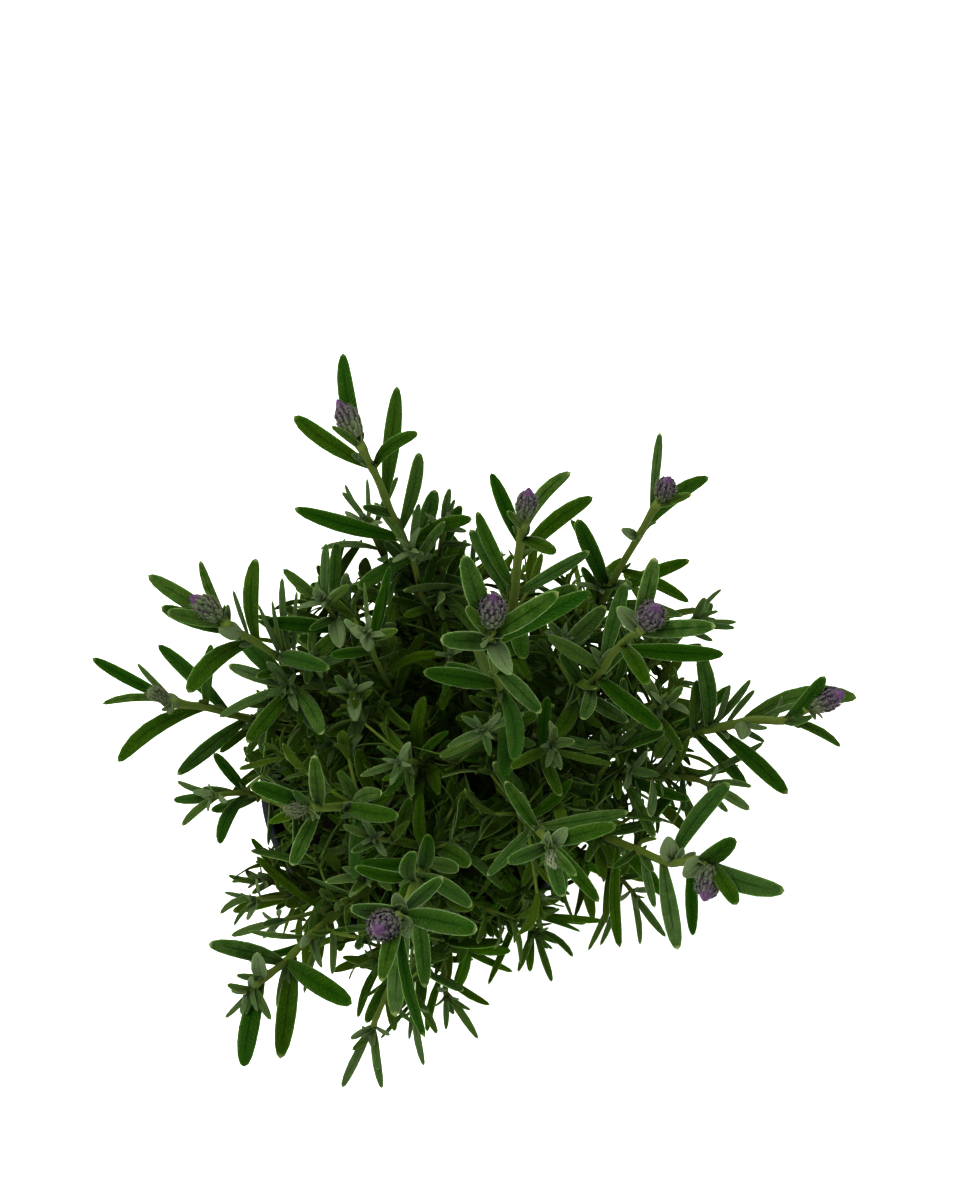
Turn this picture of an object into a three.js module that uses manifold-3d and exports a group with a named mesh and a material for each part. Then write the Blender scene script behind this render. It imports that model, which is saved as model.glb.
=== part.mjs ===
// A young lavender in a round plastic nursery pot, seen from above in the photograph.
// Millimetres, +Z up. The origin is the middle of the pot's flat underside.
import * as THREE from "three";
import { mergeVertices } from "three/addons/utils/BufferGeometryUtils.js";
import Module from "manifold-3d";

// Pot: a 13 cm nursery pot with a rolled lip.
const potHeight = 118;
const rimRadius = 65;
const lipWidth = 3.6;
const lipDepth = 11;
const potTopRadius = 61.6;
const potFootRadius = 46;
const potWall = 1.3;
const potFloor = 2.2;
const potSides = 36;
const footChamfer = 2;
const drainHoleRadius = 4.5;
const drainHoleCircle = 34;
const drainHoleCount = 6;

// Compost, a little below the rim, with a low mound round the crown.
const soilDrop = 14;
const soilMound = 3;
const soilSides = 24;
const gap = 0.35;

// The plant: its crown stands a little to the right of the pot's middle. A shoot that leans out
// further also starts further out.
const crown = [18, 4];
const crownInner = 3;
const crownOuter = 24;
const crownSpread = 0.17;
const rootedDepth = 16;
const floweringWidth = 2.5;
const leafyWidth = 2.1;
const stemSteps = 7;
const stemRise = 0.85; // below 1, a stem gains its height early along its path in the picture

// Leaves stand in pairs, each pair turned a right angle to the last.
const leafThickness = 1.1;
const leafSlenderness = 5;
const leafNarrowest = 2.2;
const leafShortest = 12;
const leafLongest = 38;
const leafArch = 0.2;

// A leaf that shows fewer widths than this along its length is a young oval one, a little longer
// than it shows.
const ovalBelow = 2.1;
const ovalSlenderness = 1.5;
const ovalForeshortening = 1.15;
const nodeSpacing = 17;
const hiddenWidth = 4.6;
const hiddenWidthSpread = 1.6;
const hiddenSlenderness = 4.6;
const hiddenLift = 0.57; // radians from square to the stem
const hiddenPairs = { flowering: 4, leafy: 3, inner: 5 };

// A bud narrower than this is younger and shorter.
const budLength = 14;
const fullBudWidth = 8;

// How the photograph was taken: from straight above the pot, tilted a little to take in the whole plant.
// Picture readings are pixels of the 960 by 1200 frame, x to the right and y down.
const eyeAboveRim = 850;
const focalPixels = 2145;
const frameMiddle = [480, 600];
const potPixel = [425, 780];

// Flowering stems. top: height of the bud's foot above the rim. bud: tip x, y, foot x, y and width.
// stem: picture points from the bud down to where the leaves hide it.
// leaves: tip x, y, foot x, y and width of each leaf that can be followed.
const floweringStems = {
  top_left: {
    top: 168,
    bud: [337, 399, 357, 438, 25],
    stem: [[359, 443], [369, 462], [379, 482], [391, 513], [412, 559], [422, 590]],
    leaves: [[343, 353, 361, 444, 18], [294, 416, 367, 471, 17], [331, 426, 361, 452, 10],
      [418, 433, 378, 468, 14], [397, 386, 385, 496, 19], [419, 452, 400, 530, 15],
      [294, 507, 392, 524, 18], [472, 519, 408, 546, 16], [362, 507, 388, 516, 12]],
  },
  left: {
    top: 150,
    bud: [190, 596, 219, 617, 25],
    stem: [[223, 621], [238, 632], [259, 644], [277, 656], [318, 676]],
    leaves: [[148, 575, 214, 613, 18], [200, 560, 222, 618, 11], [161, 607, 234, 636, 17],
      [217, 633, 240, 628, 18], [188, 693, 252, 644, 20], [256, 558, 259, 642, 17],
      [330, 669, 276, 658, 19], [233, 590, 250, 636, 6]],
  },
  far_left: {
    top: 108,
    bud: [149, 691, 166, 698, 14],
    stem: [[170, 700], [182, 704], [206, 707], [228, 713], [268, 724]],
    leaves: [[92, 658, 164, 696, 13], [137, 663, 172, 700, 7], [102, 704, 170, 702, 9],
      [118, 762, 205, 708, 18], [158, 645, 230, 712, 16], [211, 644, 206, 706, 13],
      [177, 775, 244, 729, 17], [221, 716, 262, 706, 9], [160, 700, 186, 704, 15]],
  },
  left_inner: {
    top: 165,
    bud: [285, 810, 305, 809, 15],
    stem: [[309, 808], [320, 808], [345, 806], [398, 802]],
    leaves: [[314, 755, 319, 806, 17], [250, 785, 312, 810, 17], [292, 866, 319, 812, 16],
      [399, 816, 345, 807, 19], [269, 823, 308, 813, 11], [293, 790, 310, 806, 10]],
  },
  bottom: {
    top: 215,
    bud: [375, 931, 391, 921, 32],
    stem: [[396, 918], [403, 914], [412, 890], [430, 850]],
    leaves: [[350, 908, 402, 911, 19], [478, 930, 402, 914, 24], [443, 877, 405, 910, 16],
      [381, 982, 400, 920, 18], [395, 1017, 407, 902, 21], [425, 1037, 413, 890, 18],
      [425, 988, 414, 888, 17], [395, 893, 402, 912, 14], [345, 955, 412, 888, 13],
      [410, 938, 400, 916, 22]],
  },
  lower_middle: {
    top: 185,
    bud: [557, 871, 552, 853, 14],
    stem: [[551, 849], [548, 843], [534, 826], [506, 800]],
    leaves: [[507, 862, 549, 845, 15], [617, 825, 549, 845, 18], [567, 827, 551, 848, 14],
      [563, 897, 551, 849, 15], [577, 876, 551, 848, 12], [599, 902, 540, 834, 15],
      [487, 876, 534, 826, 14], [505, 781, 538, 832, 15], [629, 812, 536, 828, 15]],
  },
  lower_right: {
    top: 176,
    bud: [704, 901, 712, 868, 27],
    stem: [[711, 863], [697, 860], [668, 862], [640, 851], [600, 834]],
    leaves: [[735, 838, 700, 860, 20], [785, 891, 706, 861, 22], [737, 905, 710, 863, 17],
      [693, 936, 692, 861, 14], [678, 950, 664, 861, 18], [730, 783, 670, 861, 19],
      [620, 948, 620, 844, 12], [667, 836, 664, 861, 19], [686, 884, 702, 861, 19]],
  },
  far_right: {
    top: 128,
    bud: [845, 692, 813, 705, 26],
    stem: [[808, 707], [785, 720], [755, 720], [730, 725], [700, 731], [650, 738]],
    leaves: [[825, 676, 786, 719, 16], [857, 698, 752, 721, 16], [841, 747, 786, 720, 11],
      [788, 794, 714, 728, 17], [703, 652, 710, 728, 18], [741, 738, 743, 722, 17],
      [751, 679, 722, 727, 8], [729, 684, 716, 728, 7]],
  },
  right: {
    top: 188,
    bud: [657, 606, 646, 624, 29],
    stem: [[643, 628], [628, 638], [612, 655], [601, 671], [575, 700]],
    leaves: [[655, 557, 638, 632, 18], [716, 626, 638, 632, 19], [617, 607, 640, 630, 17],
      [648, 685, 622, 645, 17], [724, 654, 618, 648, 19], [690, 562, 622, 645, 14],
      [689, 601, 612, 655, 12], [626, 582, 601, 670, 16], [548, 636, 604, 668, 17]],
  },
  top_right: {
    top: 165,
    bud: [669, 477, 663, 498, 21],
    stem: [[660, 501], [652, 512], [639, 536], [621, 566], [606, 595], [588, 625]],
    leaves: [[660, 432, 652, 512, 10], [709, 477, 641, 534, 17], [692, 494, 655, 508, 10],
      [579, 520, 608, 592, 14], [621, 529, 637, 540, 11]],
  },
  top_middle: {
    top: 188,
    bud: [529, 488, 524, 517, 22],
    stem: [[523, 522], [521, 540], [518, 558], [515, 590], [508, 625]],
    leaves: [[491, 473, 520, 544, 16], [571, 472, 522, 535, 15], [593, 497, 518, 560, 18],
      [556, 553, 521, 540, 15], [507, 511, 522, 528, 9], [477, 511, 515, 590, 15],
      [590, 551, 514, 594, 14], [470, 529, 512, 604, 15]],
  },
  middle: {
    top: 228,
    bud: [492, 597, 490, 627, 35],
    stem: [[490, 632], [493, 646], [499, 680], [502, 705], [497, 735]],
    leaves: [[464, 555, 491, 636, 23], [559, 592, 491, 636, 21], [590, 592, 493, 644, 21],
      [440, 640, 493, 644, 20], [509, 672, 492, 640, 22], [541, 713, 497, 668, 22],
      [423, 672, 499, 684, 21], [466, 606, 490, 634, 13]],
  },
};

// Leafy shoots: the same readings. stem starts at the growing tip.
const leafyShoots = {
  left_lower: {
    top: 92,
    stem: [[214, 796], [232, 793], [256, 794], [300, 795]],
    leaves: [[173, 800, 230, 794, 11], [177, 781, 226, 794, 7], [182, 826, 224, 796, 9],
      [214, 753, 248, 793, 12], [220, 844, 247, 793, 15], [202, 788, 236, 793, 8]],
  },
  bottom_left: {
    top: 118,
    stem: [[249, 992], [263, 979], [285, 962], [310, 936], [341, 910], [375, 882]],
    leaves: [[352, 1004, 287, 960, 20], [208, 944, 283, 963, 19], [280, 1059, 292, 955, 20],
      [244, 1067, 262, 980, 19], [257, 952, 261, 982, 15], [227, 984, 250, 992, 9],
      [225, 1018, 250, 992, 7], [271, 1020, 255, 987, 10]],
  },
  bottom_tip: {
    top: 82,
    stem: [[371, 1030], [384, 1000], [398, 965], [415, 930]],
    leaves: [[342, 1088, 370, 1032, 10], [382, 1089, 373, 1026, 10], [352, 1050, 377, 1015, 9],
      [366, 1023, 396, 970, 13], [378, 1070, 371, 1030, 9]],
  },
  middle_star: {
    top: 132,
    stem: [[483, 729], [490, 738], [492, 752]],
    leaves: [[461, 716, 483, 729, 8], [524, 714, 483, 729, 10], [447, 747, 483, 729, 9],
      [490, 756, 484, 730, 9], [536, 745, 488, 735, 12], [439, 757, 487, 734, 10]],
  },
  middle_right: {
    top: 126,
    stem: [[553, 745], [545, 752], [528, 760]],
    leaves: [[575, 741, 552, 745, 11], [561, 770, 552, 746, 8], [546, 768, 552, 746, 8],
      [510, 768, 548, 748, 12], [555, 726, 552, 745, 9], [612, 764, 548, 750, 9]],
  },
  middle_left: {
    top: 128,
    stem: [[399, 762], [412, 762], [440, 764], [463, 765]],
    leaves: [[360, 776, 401, 762, 9], [407, 752, 400, 762, 9], [390, 779, 401, 763, 7],
      [412, 797, 408, 762, 10], [385, 796, 414, 762, 11], [377, 746, 404, 762, 7],
      [380, 722, 414, 762, 10]],
  },
  lower_left_a: {
    top: 122,
    stem: [[374, 838], [400, 842], [430, 836]],
    leaves: [[343, 825, 376, 838, 9], [369, 826, 377, 839, 7], [351, 852, 379, 839, 9],
      [362, 862, 390, 841, 10], [410, 820, 392, 841, 10]],
  },
  lower_left_b: {
    top: 112,
    stem: [[364, 877], [388, 872], [425, 862]],
    leaves: [[325, 882, 366, 877, 10], [342, 867, 367, 877, 8], [352, 892, 372, 876, 9],
      [392, 890, 378, 875, 10], [400, 858, 382, 874, 9]],
  },
  upper_left_knob: {
    top: 118,
    stem: [[322, 600], [331, 612], [345, 640], [372, 672]],
    leaves: [[283, 569, 326, 606, 12], [336, 541, 328, 606, 14], [327, 544, 324, 602, 10],
      [314, 588, 326, 600, 12], [309, 630, 334, 618, 11], [340, 648, 336, 618, 16],
      [260, 622, 338, 630, 17]],
  },
  upper_left_ovals: {
    top: 136,
    stem: [[366, 632], [378, 664], [398, 700]],
    leaves: [[350, 629, 367, 634, 13], [369, 652, 368, 636, 14], [398, 630, 369, 640, 11],
      [384, 585, 371, 645, 10], [390, 565, 372, 650, 11], [330, 655, 372, 650, 12]],
  },
  upper_middle: {
    top: 124,
    stem: [[410, 549], [415, 566], [421, 592], [434, 622]],
    leaves: [[374, 502, 411, 552, 9], [419, 503, 411, 552, 9], [416, 557, 412, 556, 10],
      [445, 521, 416, 566, 11], [436, 554, 419, 585, 10], [385, 598, 422, 596, 10],
      [392, 571, 419, 582, 9]],
  },
  left_grey: {
    top: 98,
    stem: [[290, 684], [306, 690], [335, 704]],
    leaves: [[247, 743, 296, 686, 16], [266, 702, 293, 686, 8], [228, 665, 294, 686, 14],
      [300, 725, 306, 690, 9], [309, 738, 320, 698, 10]],
  },
  inner_left: {
    top: 108,
    stem: [[352, 690], [362, 712], [380, 735]],
    leaves: [[355, 722, 354, 694, 15], [361, 724, 366, 716, 15], [335, 676, 353, 692, 10],
      [332, 716, 358, 706, 9], [372, 690, 356, 700, 9]],
  },
  bottom_fringe_a: {
    top: 62,
    stem: [[446, 996], [444, 972], [441, 930]],
    leaves: [[478, 1039, 446, 994, 9], [490, 1005, 444, 976, 9], [446, 1030, 446, 996, 7],
      [427, 1032, 444, 972, 9], [471, 1010, 446, 990, 6]],
  },
  bottom_fringe_b: {
    top: 66,
    stem: [[414, 1008], [412, 985], [420, 945]],
    leaves: [[424, 1066, 414, 1006, 8], [409, 1040, 414, 1006, 6], [437, 1034, 413, 990, 8],
      [392, 1014, 413, 990, 8]],
  },
  bottom_fringe_c: {
    top: 56,
    stem: [[536, 932], [526, 915], [515, 890]],
    leaves: [[573, 957, 534, 928, 7], [565, 942, 532, 925, 6], [552, 982, 535, 930, 8],
      [518, 972, 534, 928, 8], [603, 921, 526, 914, 8], [488, 985, 522, 906, 8]],
  },
  bottom_fringe_d: {
    top: 78,
    stem: [[634, 894], [622, 880], [596, 862]],
    leaves: [[666, 937, 634, 894, 9], [640, 945, 634, 894, 7], [600, 946, 622, 880, 7],
      [588, 951, 620, 878, 7], [652, 870, 620, 878, 8]],
  },
  right_fringe_a: {
    top: 84,
    stem: [[712, 786], [694, 779], [660, 778], [620, 776]],
    leaves: [[750, 810, 712, 786, 11], [752, 787, 710, 785, 7], [728, 812, 708, 784, 7],
      [764, 742, 692, 779, 8], [683, 812, 682, 778, 8]],
  },
  right_fringe_b: {
    top: 96,
    stem: [[698, 618], [684, 630], [660, 652], [630, 680]],
    leaves: [[722, 589, 698, 618, 6], [705, 597, 694, 620, 9], [719, 611, 696, 619, 6],
      [737, 622, 690, 626, 8], [735, 636, 684, 632, 7]],
  },
  right_inner: {
    top: 112,
    stem: [[668, 702], [650, 712], [610, 726]],
    leaves: [[683, 686, 664, 704, 9], [640, 745, 655, 709, 12], [682, 752, 652, 711, 11],
      [640, 672, 660, 707, 12], [622, 730, 640, 716, 10]],
  },
  right_dark: {
    top: 104,
    stem: [[632, 770], [610, 772], [575, 768]],
    leaves: [[655, 838, 622, 771, 12], [660, 775, 628, 770, 10], [618, 800, 616, 771, 10],
      [690, 800, 610, 772, 13], [600, 742, 606, 771, 10]],
  },
  left_fringe_a: {
    top: 58,
    stem: [[262, 879], [285, 884], [325, 876]],
    leaves: [[228, 875, 264, 879, 7], [231, 882, 266, 880, 6], [252, 894, 276, 882, 8],
      [251, 838, 290, 884, 9], [258, 872, 262, 879, 7]],
  },
  left_fringe_b: {
    top: 66,
    stem: [[256, 899], [290, 896], [330, 886]],
    leaves: [[224, 892, 258, 899, 6], [220, 914, 260, 898, 8], [234, 926, 262, 898, 6],
      [282, 898, 300, 894, 9], [290, 905, 308, 892, 14]],
  },
  left_fringe_c: {
    top: 74,
    stem: [[276, 922], [308, 914], [345, 898]],
    leaves: [[231, 936, 280, 921, 9], [262, 925, 284, 920, 8], [300, 945, 300, 916, 9],
      [311, 934, 318, 910, 9], [256, 856, 322, 908, 10]],
  },
  top_fringe_a: {
    top: 104,
    stem: [[366, 520], [378, 545], [395, 585]],
    leaves: [[345, 484, 367, 522, 6], [342, 492, 368, 524, 7], [367, 478, 367, 520, 6],
      [320, 549, 380, 550, 8], [398, 476, 372, 532, 8]],
  },
  top_fringe_b: {
    top: 108,
    stem: [[445, 526], [440, 556], [446, 600]],
    leaves: [[450, 488, 445, 528, 9], [455, 499, 445, 528, 6], [472, 545, 442, 545, 8],
      [428, 520, 443, 540, 8]],
  },
  upper_right_inner: {
    top: 112,
    stem: [[566, 640], [556, 660], [538, 690]],
    leaves: [[606, 606, 562, 648, 18], [602, 617, 560, 652, 10], [548, 622, 564, 644, 9],
      [600, 690, 554, 664, 12], [530, 640, 550, 670, 11]],
  },
};

// Low leafy shoots that fill the middle of the clump: picture x, y of the tip and height above the rim.
// Each leans in towards the middle of the clump on its way down.
const innerShoots = [
  [330, 745, 78], [450, 655, 96], [540, 830, 80],
  [455, 905, 84], [600, 800, 80], [350, 850, 70],
];
const clumpMiddle = [475, 770];
const innerLean = 0.4;

const colours = { leaf: 0x3f6128, bud: 0x6b5a72, pot: 0x10171b, soil: 0x2b1f17 };

const wasm = await Module();
wasm.setup();

// A repeatable number from 0 to 1.
function scatter(seed) {
  const wave = Math.sin(seed * 127.1) * 43758.5453;
  return wave - Math.floor(wave);
}

// ---- reading the photograph ----

const eye = new THREE.Vector3(0, 0, potHeight + eyeAboveRim);
const lookAcross = (frameMiddle[0] - potPixel[0]) / focalPixels;
const lookUp = (potPixel[1] - frameMiddle[1]) / focalPixels;
const forward = new THREE.Vector3(lookAcross, lookUp, -1).normalize();
const rightward = new THREE.Vector3(1, 0, lookAcross).normalize();
const upward = new THREE.Vector3().crossVectors(rightward, forward);

// The point at a height above the rim that a picture point shows.
function pointAt(x, y, height) {
  const ray = forward.clone();
  ray.addScaledVector(rightward, (x - frameMiddle[0]) / focalPixels);
  ray.addScaledVector(upward, (frameMiddle[1] - y) / focalPixels);
  const reach = (potHeight + height - eye.z) / ray.z;
  return eye.clone().addScaledVector(ray, reach);
}

function pixelOf(point) {
  const seen = point.clone().sub(eye);
  const depth = seen.dot(forward) / focalPixels;
  return [frameMiddle[0] + seen.dot(rightward) / depth, frameMiddle[1] - seen.dot(upward) / depth];
}

// The tip of a leaf or bud of a known length: its picture point fixes the ray, its length the height.
function tipPoint(x, y, foot, length, dip = 0) {
  const footHeight = foot.z - potHeight;
  let best = pointAt(x, y, footHeight);
  for (let rise = -0.4 * length; rise <= length; rise += length / 40) {
    const candidate = pointAt(x, y, footHeight + rise);
    const tooLong = candidate.distanceTo(foot) > length;
    if (!tooLong) best = candidate;
  }
  return dip ? pointAt(x, y, best.z - potHeight + dip) : best;
}

// Millimetres that a picture width covers at a point.
function widthAt(pixels, point) {
  return (pixels * point.clone().sub(eye).dot(forward)) / focalPixels;
}

// ---- solids ----

function solidFrom(geometry) {
  const bare = geometry.clone();
  bare.deleteAttribute("normal");
  bare.deleteAttribute("uv");
  const merged = mergeVertices(bare, 1e-4);
  const vertProperties = merged.attributes.position.array;
  const triVerts = new Uint32Array(merged.index.array);
  return new wasm.Manifold(new wasm.Mesh({ numProp: 3, vertProperties, triVerts }));
}

function geometryFrom(solid) {
  const mesh = solid.getMesh();
  const geometry = new THREE.BufferGeometry();
  geometry.setAttribute("position", new THREE.BufferAttribute(mesh.vertProperties, 3));
  geometry.setIndex(new THREE.BufferAttribute(mesh.triVerts, 1));
  geometry.computeVertexNormals();
  return geometry;
}

function largestBody(solid) {
  const bodies = solid.decompose();
  return bodies.reduce((most, body) => (body.volume() > most.volume() ? body : most));
}

// Half width of a leaf along its length: a narrow foot, nearly parallel sides and a blunt tip.
function leafOutline(along) {
  return Math.sqrt(Math.max(0, Math.sin(Math.PI * along ** 1.25)));
}

// A leaf with a flat face towards the stem's tip and a keel below. spare fattens it for clearance tests.
function leafGeometry({ foot, tip, facing, width, rings, spare = 0 }) {
  const axis = tip.clone().sub(foot);
  const length = axis.length();
  axis.normalize();
  const side = new THREE.Vector3().crossVectors(axis, facing);
  if (side.lengthSq() < 1e-4) side.set(axis.y, -axis.x, 0.01);
  side.normalize();
  const normal = new THREE.Vector3().crossVectors(side, axis);
  const geometry = new THREE.SphereGeometry(1, 3, rings);
  const position = geometry.attributes.position;
  const point = new THREE.Vector3();
  for (let i = 0; i < position.count; i += 1) {
    const along = (1 - position.getY(i)) / 2;
    const ringRadius = Math.hypot(position.getX(i), position.getZ(i)) || 1;
    const across = position.getX(i) / ringRadius;
    const over = position.getZ(i) / ringRadius;
    const halfWidth = leafOutline(along) * (width / 2) + spare;
    const halfThickness = leafOutline(along) * (leafThickness / 2) + spare;
    const arch = length * leafArch * along * (1 - along);
    point.copy(foot).addScaledVector(axis, along * (length + spare));
    point.addScaledVector(side, over * halfWidth * 1.15);
    point.addScaledVector(normal, across * halfThickness + arch);
    position.setXYZ(i, point.x, point.y, point.z);
  }
  return geometry;
}

function stemGeometry(curve, width) {
  const half = width / 2;
  const section = new THREE.Shape([
    new THREE.Vector2(-half, -half),
    new THREE.Vector2(half, -half),
    new THREE.Vector2(half, half),
    new THREE.Vector2(-half, half),
  ]);
  const settings = { steps: stemSteps, extrudePath: curve, bevelEnabled: false };
  return new THREE.ExtrudeGeometry(section, settings);
}

// ---- keeping shoots clear of each other ----

const placed = [];

function isClear(solid, owner) {
  const box = solid.boundingBox();
  return !placed.some((other) => {
    if (other.owner === owner) return false;
    const apart = [0, 1, 2].some(
      (k) => box.max[k] < other.box.min[k] || box.min[k] > other.box.max[k],
    );
    return !apart && solid.intersect(other.solid).volume() > 1e-6;
  });
}

function place(solid, owner) {
  placed.push({ solid, owner, box: solid.boundingBox() });
}

// ---- shoots ----

let crownCount = 0;

// Where the next shoot leaves the compost: on its own side of the crown, spaced as seeds in a flower head.
function crownPoint(towards, turn, reach) {
  const angle = Math.atan2(towards.y - crown[1], towards.x - crown[0]) + turn;
  const lean = Math.hypot(towards.x - crown[0], towards.y - crown[1]);
  const out = Math.min(crownOuter, crownInner + lean * crownSpread) + reach;
  const z = potHeight - soilDrop - rootedDepth;
  return new THREE.Vector3(crown[0] + Math.cos(angle) * out, crown[1] + Math.sin(angle) * out, z);
}

// The stem's line from the compost to its top, through its picture points.
function stemCurve(shoot, turn, reach) {
  const top = pointAt(...shoot.stem[0], shoot.top);
  const base = crownPoint(top, turn, reach);
  const collar = base.clone();
  collar.z += rootedDepth;
  const trail = [...shoot.stem].reverse();
  const pixels = [pixelOf(collar), ...trail];
  const steps = pixels.map(([x, y], i) => {
    const before = pixels[Math.max(0, i - 1)];
    return Math.hypot(x - before[0], y - before[1]);
  });
  const whole = steps.reduce((sum, step) => sum + step, 0);
  let gone = 0;
  const points = trail.map((p, i) => {
    gone += steps[i + 1];
    const height = -soilDrop + (shoot.top + soilDrop) * (gone / whole) ** stemRise;
    return pointAt(p[0], p[1], height);
  });
  const smooth = new THREE.CatmullRomCurve3([base, collar, ...points], false, "centripetal");
  const joints = smooth.getSpacedPoints(stemSteps);
  const line = new THREE.CurvePath();
  joints.slice(1).forEach((joint, i) => line.add(new THREE.LineCurve3(joints[i], joint)));
  return line;
}

// The first way up that clears every earlier stem, the pot and the buds.
function findStem(shoot, owner, width) {
  for (const reach of [0, 4, -3, 8, 12]) {
    for (const turn of [0, 0.25, -0.25, 0.5, -0.5, 0.8, -0.8]) {
      const curve = stemCurve(shoot, turn, reach);
      if (isClear(solidFrom(stemGeometry(curve, width + 2 * gap)), owner)) return curve;
    }
  }
  return null;
}

function nearestOnStem(curve, x, y) {
  let best = { distance: Infinity };
  for (let i = 0; i <= 60; i += 1) {
    const along = 0.15 + (0.83 * i) / 60;
    const point = curve.getPointAt(along);
    const seen = pixelOf(point);
    const distance = Math.hypot(seen[0] - x, seen[1] - y);
    if (distance < best.distance) best = { distance, along, point };
  }
  return best;
}

// One leaf, moved up or down its line of sight or shortened until it clears the other shoots.
function findLeaf(leaf, owner, variants) {
  for (const variant of variants) {
    const candidate = { ...leaf, ...variant(leaf) };
    const fat = solidFrom(leafGeometry({ ...candidate, spare: gap }));
    if (!isClear(fat, owner)) continue;
    return solidFrom(leafGeometry(candidate));
  }
  return null;
}

function readLength(shown, width) {
  if (shown < ovalBelow) return width * Math.max(ovalSlenderness, shown * ovalForeshortening);
  return THREE.MathUtils.clamp(width * leafSlenderness, leafShortest, leafLongest);
}

function readLeaf(curve, [tipX, tipY, footX, footY, widthPixels], owner) {
  const { along, point } = nearestOnStem(curve, footX, footY);
  const width = Math.max(leafNarrowest, widthAt(widthPixels, point));
  const length = readLength(Math.hypot(tipX - footX, tipY - footY) / widthPixels, width);
  const facing = curve.getTangentAt(along);
  const rings = widthPixels > 9 ? 4 : 3;
  const leaf = { foot: point, facing, width, rings };
  const variants = [0, 3, -3, 6, -6, 10, -10, 15, -15, 20].map((dip) => () => ({
    tip: tipPoint(tipX, tipY, point, length, dip),
  }));
  return findLeaf(leaf, owner, variants);
}

// Leaf pairs lower down the stem, each turned a right angle to the next, where the readings stop.
function hiddenLeaves(curve, owner, seed, from, most) {
  const total = curve.getLength();
  const leaves = [];
  for (let i = 0; i < most; i += 1) {
    const along = from - ((i + 1) * nodeSpacing) / total;
    const point = curve.getPointAt(Math.max(along, 0));
    if (along < 0.2 || point.z < potHeight + 4) break;
    const facing = curve.getTangentAt(along);
    for (const sign of [0, Math.PI]) {
      const spin = seed * 1.7 + (i * Math.PI) / 2 + sign;
      const width = hiddenWidth + hiddenWidthSpread * scatter(seed + i * 3 + sign);
      const length = width * hiddenSlenderness;
      const variants = [0, 0.35, -0.35, 0.7, -0.7].flatMap((turn) =>
        [1, 0.75].map((short) => () => ({
          tip: outwardTip(point, facing, spin + turn, length * short),
        })),
      );
      const leaf = { foot: point, facing, width, rings: 3 };
      const solid = findLeaf(leaf, owner, variants);
      if (solid) leaves.push(solid);
    }
  }
  return leaves;
}

function outwardTip(point, facing, spin, length) {
  const across = new THREE.Vector3(Math.cos(spin), Math.sin(spin), 0);
  across.addScaledVector(facing, -across.dot(facing)).normalize();
  const direction = across.multiplyScalar(Math.cos(hiddenLift));
  direction.addScaledVector(facing, Math.sin(hiddenLift));
  return point.clone().addScaledVector(direction, length);
}

function budGeometry(width, length, spare = 0) {
  const profile = [[0, 0], [0.3, 0.04], [0.44, 0.2], [0.5, 0.42], [0.42, 0.68], [0.24, 0.9], [0, 1]];
  const points = profile.map(([radius, along]) => {
    const height = along * (length + 2 * spare) - spare;
    return new THREE.Vector2(radius ? radius * width + spare : 0, height);
  });
  const geometry = new THREE.LatheGeometry(points, 8);
  geometry.rotateX(Math.PI / 2);
  return geometry;
}

function budSolid(bud, spare) {
  const geometry = budGeometry(bud.width, bud.length, spare);
  const turn = new THREE.Quaternion().setFromUnitVectors(new THREE.Vector3(0, 0, 1), bud.direction);
  geometry.applyQuaternion(turn);
  geometry.translate(bud.foot.x, bud.foot.y, bud.foot.z);
  return solidFrom(geometry);
}

function readBud(shoot) {
  const [tipX, tipY, footX, footY, widthPixels] = shoot.bud;
  const foot = pointAt(footX, footY, shoot.top);
  const width = widthAt(widthPixels, foot);
  const length = Math.max(budLength * Math.min(1, width / fullBudWidth), width * 1.15);
  const tip = tipPoint(tipX, tipY, foot, length);
  const direction = tip.sub(foot).normalize();
  return { foot, width, length, direction };
}

const lavender = new THREE.Group();
const rooted = [];

function addMesh(name, solid, colour, roughness = 0.8) {
  const material = new THREE.MeshStandardMaterial({ color: colour, roughness, metalness: 0 });
  const mesh = new THREE.Mesh(geometryFrom(solid), material);
  mesh.name = name;
  lavender.add(mesh);
}

// The stem alone, claimed before any leaf so that every shoot finds its way up.
function claimStem(plan) {
  const curve = findStem(plan.shoot, plan.name, plan.width);
  if (!curve) throw new Error(plan.name + " finds no clear way up");
  const stem = solidFrom(stemGeometry(curve, plan.width));
  place(stem, plan.name);
  rooted.push(solidFrom(stemGeometry(curve, plan.width + 2 * gap)));
  return { ...plan, curve, stem, leaves: [] };
}

function growReadLeaves(plan) {
  for (const reading of plan.shoot.leaves) {
    const leaf = readLeaf(plan.curve, reading, plan.name);
    if (!leaf) continue;
    place(leaf, plan.name);
    plan.leaves.push(leaf);
  }
}

function growHiddenLeaves(plan) {
  const { curve, name, seed, hidden } = plan;
  const feet = plan.shoot.leaves.map(([, , x, y]) => nearestOnStem(curve, x, y).along);
  for (const leaf of hiddenLeaves(curve, name, seed, Math.min(0.97, ...feet), hidden)) {
    place(leaf, name);
    plan.leaves.push(leaf);
  }
}

// A stem with its leaves grown on it is one body.
function joinShoot({ name, stem, leaves, bud }) {
  const whole = leaves.reduce((sum, leaf) => sum.add(leaf), stem);
  addMesh(name, bud ? largestBody(whole.subtract(budSolid(bud, gap))) : whole, colours.leaf);
}

// ---- pot and compost ----

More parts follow.
